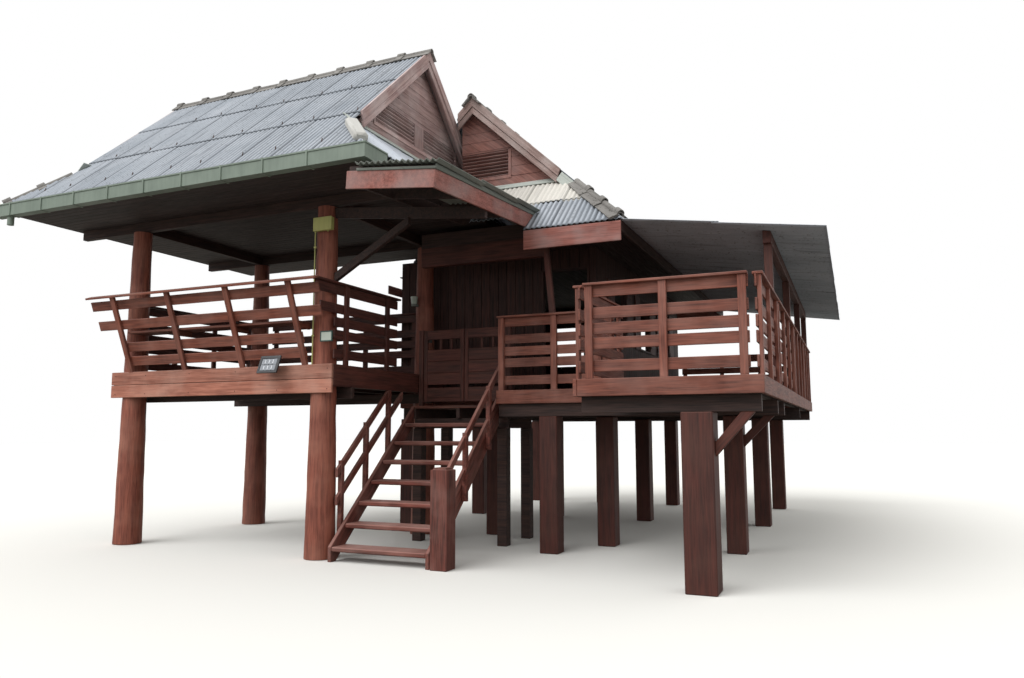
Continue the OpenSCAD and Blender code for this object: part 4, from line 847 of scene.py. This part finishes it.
# The gate's posts take the darker stain as painted shade.
fit(boards(rows), "gate_posts_pair", painted_shade_stain, "gate_posts", grain=131)
rows = [span(x0, x1, 2.085, 2.091, z + 0.015, z + 0.065) for z in pin_heights
        for x0, x1 in ((0.300, hinge_left), (hinge_right, 1.836))]
pins = [rod(0.008, (x, hinge_y, z), (x, hinge_y, z + 0.08))
        for x in (hinge_left, hinge_right) for z in pin_heights]
fit(joined([boards(rows, ease=0.001)] + pins), "gate_pins", iron, "gate_posts", smooth=40)
for node, body, x0, x1, edge0, edge1, seed in (
        ("gate_left_leaf", "gate_left", 0.364, 1.062, 0.374, 0.484, 141),
        ("gate_right_leaf", "gate_right", 1.074, 1.772, 1.652, 1.762, 142)):
    in0, in1 = x0 + stile, x1 - stile
    rows = [(x0, in0, 2.030, 2.070, 0.0, 1.112), (in1, x1, 2.030, 2.070, 0.0, 1.112),
            (in0, in1, 2.031, 2.069, 0.0, 0.062), (in0, in1, 2.036, 2.064, 0.062, 0.219)]
    rows += [(in0, in1, 2.036, 2.064, a, b) for a, b in strips(0.265, 0.813, 0.18)]
    rows += [(x - 0.018, x + 0.018, 2.036, 2.064, 0.813, 0.970) for x in
             (in0 + 0.40 * (in1 - in0), in0 + 0.72 * (in1 - in0))]
    rows.append((in0, in1, 2.031, 2.069, 0.970, 1.112))
    rows = [span(*row[:4], leaf_foot + row[4], leaf_foot + row[5]) for row in rows]
    # The gate's leaves take the darker stain as painted shade.
    fit(boards(rows), node + "_boards", painted_shade_stain, node, grain=seed, body=body)
    straps = boards([span(edge0, edge1, 2.070, 2.076, z + 0.015, z + 0.065) for z in pin_heights], 0.001)
    fit(straps, node + "_straps", iron, node, body=body)


# Roof over the stair. Two columns of wavy sheets that slope to the right and rise a little to
# the back, their deeper waves closed by thin strips in front and at the right. Red fascias hang
# there too, and dark beams, battens and a strut down to the corner log carry it.
green_cement = weathered_cement("green_cement", "#8d918a", "#6d726c", "#4d514b", troughs=0.6)
deeper_wave = 1.7
stair_roof_at = (Matrix.Translation((1.300, -1.400, 4.610)) @ Matrix.Rotation(radians(4.06), 4, "X")
                 @ Matrix.Rotation(radians(6.2), 4, "Y"))
sheets_at = stair_roof_at @ Matrix.Translation((0.140, -0.050, 0.075))
sheets = sheet_field(1.10, 3.25, 3, sheets_at, 151)
sheets.data.transform(sheets_at @ Matrix.Diagonal((1, 1, deeper_wave, 1)) @ sheets_at.inverted())
rows = [(stair_roof_at @ Vector(middle), size, stair_roof_at.to_euler()) for middle, size in (
    ((0.654, -0.006, 0.014), (1.030, 0.012, 0.030)), ((1.163, 1.500, 0.028), (0.012, 3.000, 0.058)))]
sheets = joined([sheets, boards(rows, ease=0.001)])
cut_away(sheets, stair_roof_at @ Vector((1.226, 0, 0)), stair_roof_at.to_3x3() @ Vector((1, 0, 0)))
cut_away(sheets, (0, 1.2, 4.452), (0, 0.932, -1))
fit(sheets, "stair_sheets", green_cement, "stair_roof", smooth=50)
fascia_stain = stained_wood("fascia_stain", "#9c5f54", "#703f37", "#94807d", wear=0.6)
fit_sawn("stair_roof_edge_boards", "stair_roof_fascias", fascia_stain, 161)
fit_sawn("stair_roof_beams", "stair_roof_timbers", dark_stain_and_shade, 162)


# Posts, bearers and joists under the house. Square hardwood posts on the ground, one much
# thicker at the side deck's corner, with two braces up to the deck.
house_stain = stained_wood("house_stain", "#5b2a20", "#3c1d16", "#6c4539", wear=0.3)
for number, (node, name, stain, slot, ease) in enumerate([
        ("house_posts", "house_square_posts", house_stain, "stained_timber", 0.010),
        ("side_deck_braces", "deck_braces", house_stain, "stained_timber", 0.005),
        ("house_bearers", "house_bearer_timbers", dark_stain_and_shade, "dark_timber", 0.005),
        ("house_joists", "house_joist_timbers", dark_stain_and_shade, "dark_timber", 0.005),
        ("floor_edge_boards", "floor_edging", rail_stain, "stained_timber", 0.005)]):
    fit_sawn(node, name, stain, 171 + number, ease)


# Floors of the house, the veranda and the side deck. Planks 140 mm wide along the house.
for number, node in enumerate(["house_floor", "veranda_floor"]):
    fit(planks(node, along_y=True), node + "_planks", floor_stain, node, grain=181 + number)


# Walls of the house. Upright boards 150 mm wide outside and inside of a light frame, dark
# stained and painted darker still as shade, with a thin backing between them that closes the
# joints, and a lining round the doorway and each window.
def boarded_wall(place, length, high, holes):
    """Rows for a wall along its own X with its outer face at 0; holes are x0, x1, z0, z1."""
    made = []
    frame_w, lining_t = 0.06, 0.032

    def lay(*corners):
        made.append(span(*corners, place))

    edges = sorted({0.0, length} | {x for hole in holes for x in hole[:2]})
    for start, end in zip(edges, edges[1:]):
        bays = [(0.0, high)]
        for x0, x1, z0, z1 in holes:
            if x0 < start + 0.001 and x1 > end - 0.001:
                bays = [(a, b) for a, b in ((0.0, z0), (z1, high)) if b - a > 0.02]
        for low, top in bays:
            for x0, x1 in strips(start, end, 0.15, 0.007):
                lay(x0, x1, 0.002, 0.026, low, top)
                lay(x0, x1, 0.054, 0.078, low, top)
            lay(start + 0.01, end - 0.01, 0.038, 0.042, low + 0.01, top - 0.01)
            for x0, x1, z0, z1 in ((start, end, low, low + frame_w), (start, end, top - frame_w, top),
                                   (start, start + frame_w, low + frame_w, top - frame_w),
                                   (end - frame_w, end, low + frame_w, top - frame_w)):
                lay(x0, x1, 0.026, 0.054, z0, z1)
    for x0, x1, z0, z1 in holes:
        lay(x0, x0 + lining_t, -0.012, 0.086, z0, z1)
        lay(x1 - lining_t, x1, -0.012, 0.086, z0, z1)
        lay(x0 + lining_t, x1 - lining_t, -0.012, 0.086, z1 - lining_t, z1)
        if z0 > 0.1:
            lay(x0 - 0.03, x1 + 0.03, -0.022, 0.086, z0 - 0.004, z0 + lining_t)
    return made


# The walls' dark stain is made darker still as painted shade.
wall_stain_and_shade = stained_wood("wall_stain_and_shade", "#4a2a24", "#271815", "#553a33", wear=0.2, rough=0.7)
floor_z = 2.214
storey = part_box("front_wall")[1][2] - floor_z
house_left, house_right, house_front, house_back = -0.620, 2.900, 2.950, 9.120
wall_t, window_half, window_foot, window_head, shutter_w = 0.080, 0.38, 0.9, 1.9, 0.376
side_holes, back_holes = [[(x - window_half, x + window_half, window_foot, window_head) for x in middles]
                          for middles in ((1.277, 3.005, 4.733), (0.950, 2.570))]
shutter_rows = []
for number, (node, corner, turn, length, holes) in enumerate([
        ("front_wall", (house_left, house_front), 0, 3.520, [(2.610, 3.410, 0.0, 1.990)]),
        ("left_wall", (house_left, house_back - wall_t), -quarter, 6.010, side_holes),
        ("right_wall", (house_right, house_front + wall_t), quarter, 6.010, side_holes),
        ("back_wall", (house_right, house_back), pi, 3.520, back_holes)]):
    place = turned_at((*corner, floor_z), turn)
    fit(boards(boarded_wall(place, length, storey, holes), ease=0.002), node + "_boards", wall_stain_and_shade, node,
        grain=191 + number)
    windows = [] if node == "front_wall" else holes
    for x0, x1, z0, z1 in windows:
        for start in (x0 - 0.004 - shutter_w, x1 + 0.004):
            shutter_rows += [span(a, b, -0.0182, -0.0026, z0, z1, place)
                             for a, b in strips(start, start + shutter_w, 0.125, 0.003)]
            shutter_rows += [span(start + 0.010, start + 0.366, -0.026, -0.0182,
                                  z - 0.0375, z + 0.0375, place) for z in (z0 + 0.14, z1 - 0.14)]


# Shutters of the windows. Boarded leaves with two ledges, folded back flat on the wall.
fit(boards(shutter_rows, ease=0.002), "boarded_shutters", house_stain, "window_shutters", grain=201)


# Ceiling of the house and its eaves. Boards 120 mm wide along the house.
(_, _, cz0), (_, _, cz1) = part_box("house_ceiling")
rows = [span(a, b, y0, 9.740, cz0, cz1)
        for x0, x1, y0 in ((-1.290, house_left, 3.960), (house_left, 0.300, house_front),
                           (0.300, 2.410, 2.130), (2.410, 3.570, 1.430))
        for a, b in strips(x0, x1, ceiling_w, ceiling_joint)]
# The ceiling boards' dark stain is partly painted shade.
fit(boards(rows), "house_ceiling_boards", ceiling_stain_and_shade, "house_ceiling", grain=211)


# Roof sheets of the house. The same sheets as on the pavilion, cut in a valley against the
# pavilion's back slope; the upper row of the front skirt is newer and nearly white.
pale_cement = weathered_cement("pale_cement", "#dedad3", "#cbc7bf", "#a2a09a", moss_share=0.1, troughs=0.3)
house_eave, house_front_eave, house_back_eave, house_eave_z, house_length = 3.800, 1.200, 9.970, 4.440, 8.770
eave_half, house_rise, house_gable_in, house_rake_in = 2.660, 2.480, 1.100, 0.960
eave_slope = house_rise / eave_half
(right_field, *right_tips), (left_field, front_left_tip, back_left_tip), skirt, back_skirt = gablet_sheets(
    (house_eave, house_front_eave, house_eave_z), quarter, house_length, 2 * eave_half, house_rise,
    house_gable_in, house_rake_in, 3, 221, end_rows=2)
valley_point, valley_up, valley_x = (0, eave_back, 5.031), Vector((0, cap_slope, 1)), 1.413
behind = cut_away(twin(left_field), valley_point, valley_up)
cut_away(behind, (0.878, 0, 0), (-1, 0, 0))
cut_away(left_field, valley_point, -valley_up)
bpy.data.objects.remove(front_left_tip)
skirt_mid, skirt_left = twin(skirt), twin(skirt)
cut_away(skirt, (2.410, 0, 0), (-1, 0, 0))
for piece in (skirt_mid, skirt_left):
    cut_away(piece, (0, 1.500, 0), (0, -1, 0))
cut_away(skirt_mid, (2.410, 0, 0), (1, 0, 0))
cut_away(skirt_mid, (valley_x, 0, 0), (-1, 0, 0))
cut_away(skirt_left, (valley_x, 0, 0), (1, 0, 0))
cut_away(skirt_left, (valley_x, 0, 5.031), (-cap_slope, 0, -1))
lower = joined([skirt, skirt_mid, skirt_left])
upper = twin(lower)
cut_away(lower, (0, 1.736, 0), (0, 1, 0))
cut_away(upper, (0, 1.736, 0), (0, -1, 0))
house_sheets = joined([right_field, left_field, behind, back_skirt, back_left_tip] + right_tips)
for piece, name, cement in ((house_sheets, "house_sheets", roof_cement),
                            (lower, "house_skirt_lower", roof_cement),
                            (upper, "house_skirt_upper", pale_cement)):
    fit(piece, name, cement, "house_roof", smooth=50)


# Gables and bargeboards of the house. The same make as the pavilion's, redder where the eaves
# shelter them; the front ones stop at the valley with the pavilion's roof. Its fascias are red
# too, and dark as painted shade where the pavilion's roof shelters them.
gable_stain = stained_wood("gable_stain", "#98675c", "#69433c", "#97807c", wear=0.4, rough=0.7)
house_barge_stain = stained_wood("house_barge_stain", "#9f8680", "#75605a", "#b8aca8", wear=0.6, rough=0.75)
house_ridge_x, gable_z = 1.140, 5.4656
gables = [trimmed_gable(turned_at((house_ridge_x, y, gable_z), turn), 1.500, 1.398, 1.16, 0.44, 8)
          for y, turn in ((2.300, 0), (8.870, pi))]
cut_away(gables[0], (0.880, 0, 0), (-1, 0, 0))
fit(joined(gables), "house_gable_boards", gable_stain, "house_gables", grain=231)
front_barges, back_barges = [
    barge_boards(turned_at((house_ridge_x, y, house_eave_z), turn), eave_half, eave_slope, house_rake_in)
    for y, turn in ((2.158, -quarter), (9.012, quarter))]
for piece in front_barges:
    cut_away(piece, (0.885, 0, 0), (-1, 0, 0))
fit(joined(front_barges + back_barges), "house_barges", house_barge_stain, "house_bargeboards", grain=232)
outer_rows, inner_rows = [], []
for low, high in slab_boxes("house_eave_boards"):
    # Fascia boards under the pavilion's roof get the dark stain as painted shade.
    in_painted_shade = low[0] > 0.0 and high[0] < 2.450
    (inner_rows if in_painted_shade else outer_rows).append(span(low[0], high[0], low[1], high[1], low[2], high[2]))
fit(boards(outer_rows, ease=0.005), "house_fascias", fascia_stain, "house_eave_boards", grain=233)
fit(boards(inner_rows, ease=0.005), "fascia_in_painted_shade", dark_stain_and_shade, "house_eave_boards", grain=234)


# Ridge and hip caps of the house, of the same cast cement. Tin lies along the gables' feet and
# closes the roof beside the right bargeboards' feet.
runs = [cap_run((house_ridge_x, 2.070, 6.899), (house_ridge_x, 9.100, 6.899), eave_slope, 241)]
hip_run = 0.92
for x, y, sx, sy, seed in ((house_eave, house_front_eave, -1, 1, 242),
                           (house_eave, house_back_eave, -1, -1, 240),
                           (-1.520, house_back_eave, 1, -1, 242)):
    top = (x + sx * hip_run, y + sy * hip_run, 4.444 + hip_run * eave_slope)
    runs.append(cap_run((x + sx * 0.02, y + sy * 0.02, 4.462), top, hip_slope, seed, lift=0.008))
fit(joined(runs), "house_caps", cap_cement, "house_roof_caps", grain=243, smooth=35)
tilt = atan(eave_slope)
rows = [(((x0 + x1) / 2, y + sy * 0.055, gable_z - 0.032), (x1 - x0, 0.13, 0.010), (-sy * tilt, 0, 0))
        for y, sy, x0, x1 in ((2.300, -1, 0.93, 2.60), (8.870, 1, -0.32, 2.60))]
rows += [((2.706, y, 5.349), (0.310, 0.012, 0.150), (0, tilt, 0)) for y in (2.146, 9.024)]
fit(boards(rows, ease=0.002), "house_flashing", tin, grain=244)


# Veranda on the right. A low roof of two rows of sheets on a ledger along the house, a beam and
# slim posts, and board railings between them like those of the pavilion.
fall, veranda_eave = radians(8.5), 6.300
low_z = house_eave_z - (veranda_eave - house_eave) * tan(fall)
sheets = sheet_field(house_length, 2.500 / cos(fall), 2,
                     slope_place((veranda_eave, house_front_eave, low_z - 0.012), quarter, fall), 251)
cut_away(sheets, (3.812, 0, 0), (-1, 0, 0))
cut_away(sheets, (0, 9.985, 0), (0, 1, 0))
fit(sheets, "veranda_sheets", roof_cement, "veranda_roof", smooth=50)
fit_sawn("veranda_posts", "veranda_slim_posts", house_stain, 261, 0.005)
# The veranda's beams take the darker stain as painted shade.
fit_sawn("veranda_beams", "veranda_eave_beams", painted_shade_stain, 262, 0.005)
fit(boards([span(3.770, 3.800, 1.205, 9.960, 4.260, 4.412)]), "veranda_ledger", dark_stain_and_shade, grain=263)
rows = []
veranda_post_y, veranda_rail = (1.540, 4.350, 6.850, 8.950), 1.06
for x, y, turn, length, spaces in (
        (1.870, 1.524, 0, 1.710, 2), (3.714, 1.420, -quarter, 1.780, 2), (3.800, -0.406, 0, 1.760, 2),
        (5.646, -0.390, quarter, 1.920, 2), (5.535, 9.076, pi, 2.545, 3),
        *((5.646, y0 + 0.110, quarter, y1 - y0 - 0.120, 3)
          for y0, y1 in zip(veranda_post_y, veranda_post_y[1:]))):
    rows += upright_rail((x, y, floor_z), turn, length, veranda_rail, evenly(length, spaces))
fit(boards(rows), "veranda_board_railings", rail_stain, "veranda_railings", grain=271)


# Junction box on the corner log. A yellow enamelled steel box with a lid on four screws, two
# cable glands and a conduit down the log.
box_paint = painted_metal("box_enamel", "#b6b46e", "#9c9a60")
conduit_x, log_front = -0.064, -0.180
parts = [boards([span(-0.074, 0.214, -0.198, -0.145, 4.331, 4.504)], 0.004),
         boards([span(-0.080, 0.220, -0.219, -0.200, 4.325, 4.510)], 0.005)]
parts += [rod(0.006, (x, -0.222, z), (x, -0.218, z)) for x in (-0.062, 0.202) for z in (4.343, 4.492)]
parts += [rod(0.013, (x, log_front, 4.312), (x, log_front, 4.333), 6) for x in (conduit_x, 0.140)]
parts.append(rod(0.008, (conduit_x, log_front, deck_top), (conduit_x, log_front, 4.320)))
parts += [boards([span(-0.082, -0.046, -0.189, -0.166, z, z + 0.022)], 0.002) for z in (2.9, 3.5, 4.1)]
fit(joined(parts), "cable_box", box_paint, "junction_box", smooth=35)


# Flood lamp low on the corner log: a cast housing with cooling ribs behind a framed glass.
frosted = painted_metal("lamp_frosted_glass", "#b4bdb2", "#9fa99d", rough=0.25)
green_housing = painted_metal("lamp_green_housing", "#36514b", "#2b403c")
rows = [span(0.100 + i * 0.030, 0.106 + i * 0.030, -0.205, -0.180, 2.828, 2.952) for i in range(6)]
ribs = boards(rows, 0.001)
rows = [span(*row) for row in (
    (0.090, 0.280, -0.227, -0.203, 2.820, 2.834), (0.090, 0.280, -0.227, -0.203, 2.946, 2.960),
    (0.090, 0.104, -0.227, -0.203, 2.834, 2.946), (0.266, 0.280, -0.227, -0.203, 2.834, 2.946),
    (0.104, 0.266, -0.210, -0.203, 2.834, 2.946), (0.095, 0.125, -0.190, -0.120, 2.880, 2.905))]
fit(joined([ribs, boards(rows, 0.002)]), "flood_lamp_housing", green_housing, "flood_lamp")
fit(boards([span(0.104, 0.266, -0.221, -0.212, 2.834, 2.946)], 0.002), "flood_lamp_glass", frosted,
    "flood_lamp")


# Small solar panel in front of the deck's edge board: a dark alloy frame, two rows of grey
# cells with printed silver bars, and a bracket back to the board.
alloy = painted_metal("dark_alloy", "#26272b", "#34363a", rough=0.35)
cell_grey = painted_metal("solar_cells", "#7d828a", "#8f949c", rough=0.2)
silver = painted_metal("silver_print", "#e4e8ee", "#d2d6dc", rough=0.25)
panel_at = Matrix.Translation((-0.830, -0.405, 2.423)) @ Matrix.Rotation(radians(-22), 4, "X")
rows = [span(*row, panel_at) for row in (
    (0.030, 0.360, 0, 0.022, 0, 0.030), (0.030, 0.360, 0, 0.022, 0.212, 0.250),
    (0.030, 0.062, 0, 0.022, 0.030, 0.212), (0.322, 0.360, 0, 0.022, 0.030, 0.212),
    (0.062, 0.322, 0.010, 0.016, 0.030, 0.212))]
rows.append(span(-0.675, -0.625, -0.375, -0.200, 2.453, 2.478))
cell_rows = strips(0.033, 0.209, 0.085, 0.006)
cells = [span(x0, x1, 0.004, 0.010, z0, z1, panel_at) for x0, x1 in strips(0.064, 0.320, 0.060, 0.008)
         for z0, z1 in cell_rows]
bars = [span(x - 0.006, x + 0.006, 0.002, 0.005, z0 + 0.012, z1 - 0.012, panel_at)
        for x in (0.128, 0.192, 0.256) for z0, z1 in cell_rows]
for name, made, ease, paint in (("frame", rows, 0.001, alloy), ("cells", cells, 0.0005, cell_grey),
                                ("bars", bars, 0.0005, silver)):
    fit(boards(made, ease), "solar_panel_" + name, paint, "solar_panel")


# Wall lamp on the back corner log: a tapered frosted glass in a metal cup on a round plate.
housing = painted_metal("lamp_housing", "#7f857f", "#646964")
(lx0, ly0, _), (lx1, ly1, _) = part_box("wall_lamp")
centre = Vector(((lx0 + lx1) / 2, (ly0 + ly1) / 2, 3.690))


def above(high):
    return centre + Vector((0, 0, high))


clear_selection()
bpy.ops.mesh.primitive_cone_add(vertices=28, radius1=0.044, radius2=0.059, depth=0.125,
                                end_fill_type="NOTHING", location=above(0.0975))
shade = bpy.context.object
bpy.ops.object.transform_apply()
modify(shade, "SOLIDIFY", thickness=0.004)
fit(joined([shade, rod(0.026, above(0.045), above(0.125), 20)]), "wall_lamp_glass", frosted, "wall_lamp",
    smooth=40)
toward = Matrix.Rotation(radians(-25), 3, "Z") @ Vector((0, 1, 0))
parts = [rod(0.047, centre, above(0.038), 28),
         rod(0.020, above(0.018), above(0.018) + toward.normalized() * 0.075),
         rod(0.052, above(0.152), above(0.158), 28)]
fit(joined(parts), "wall_lamp_cup", housing, "wall_lamp", smooth=40)


# The studio: a pale floor and a white backdrop, a soft sky from all sides and one broad lamp
# high at the front left, as on an overcast day.
clear_selection()
bpy.ops.mesh.primitive_plane_add(size=160, location=(0, 4, 0))
floor = bpy.context.object
bpy.ops.object.transform_apply()
floor.name = "studio_floor"
paint = bpy.data.materials.new("studio_floor_paint")
add = empty_tree(paint)
seen = add("LightPath", out="Is Camera Ray")
pale = add("Mix", {0: seen, 6: linear("#8b8a84"), 7: linear("#e9e8e4")}, out=2, data_type="RGBA")
matt = add("BsdfDiffuse", {"Color": pale})
add("OutputMaterial", {"Surface": matt})
floor.data.materials.append(paint)

world = bpy.data.worlds.new("studio_sky")
bpy.context.scene.world = world
add = empty_tree(world)
seen = 0.0
for ray in ("Is Camera Ray", "Is Glossy Ray", "Is Transmission Ray"):
    seen = add("Math", {0: seen, 1: add("LightPath", out=ray)}, operation="MAXIMUM")
sky = add("Background", {"Color": linear("#f3f3f1"), "Strength": 1.05})
backdrop = add("Background", {"Color": (1, 1, 1, 1), "Strength": 1.0})
both = add("MixShader", {0: seen, 1: sky, 2: backdrop})
add("OutputWorld", {"Surface": both})

clear_selection()
bpy.ops.object.light_add(type="SUN", location=(-6, -8, 14), rotation=(radians(42), 0, radians(-28)))
lamp = bpy.context.object
lamp.data.energy = 2.0
lamp.data.angle = radians(50)

# The camera stands where the photo was taken, at eye height, and looks a little up. Its focal
# length is given in the photo's pixels.
eye, heading, look_up, roll = (6.494, -8.610, 1.670), 23.50, 6.567, -0.13
focal_px, photo_px, sensor_mm = 782.87, 1024, 36
clear_selection()
bpy.ops.object.camera_add()
camera = bpy.context.object
camera.data.sensor_width = sensor_mm
camera.data.lens = focal_px * sensor_mm / photo_px
camera.data.clip_end = 300
camera.matrix_world = (slope_place(eye, radians(heading), radians(90 + look_up))
                       @ Matrix.Rotation(radians(roll), 4, "Z"))
bpy.context.scene.camera = camera
bpy.context.scene.view_settings.view_transform = "Standard"
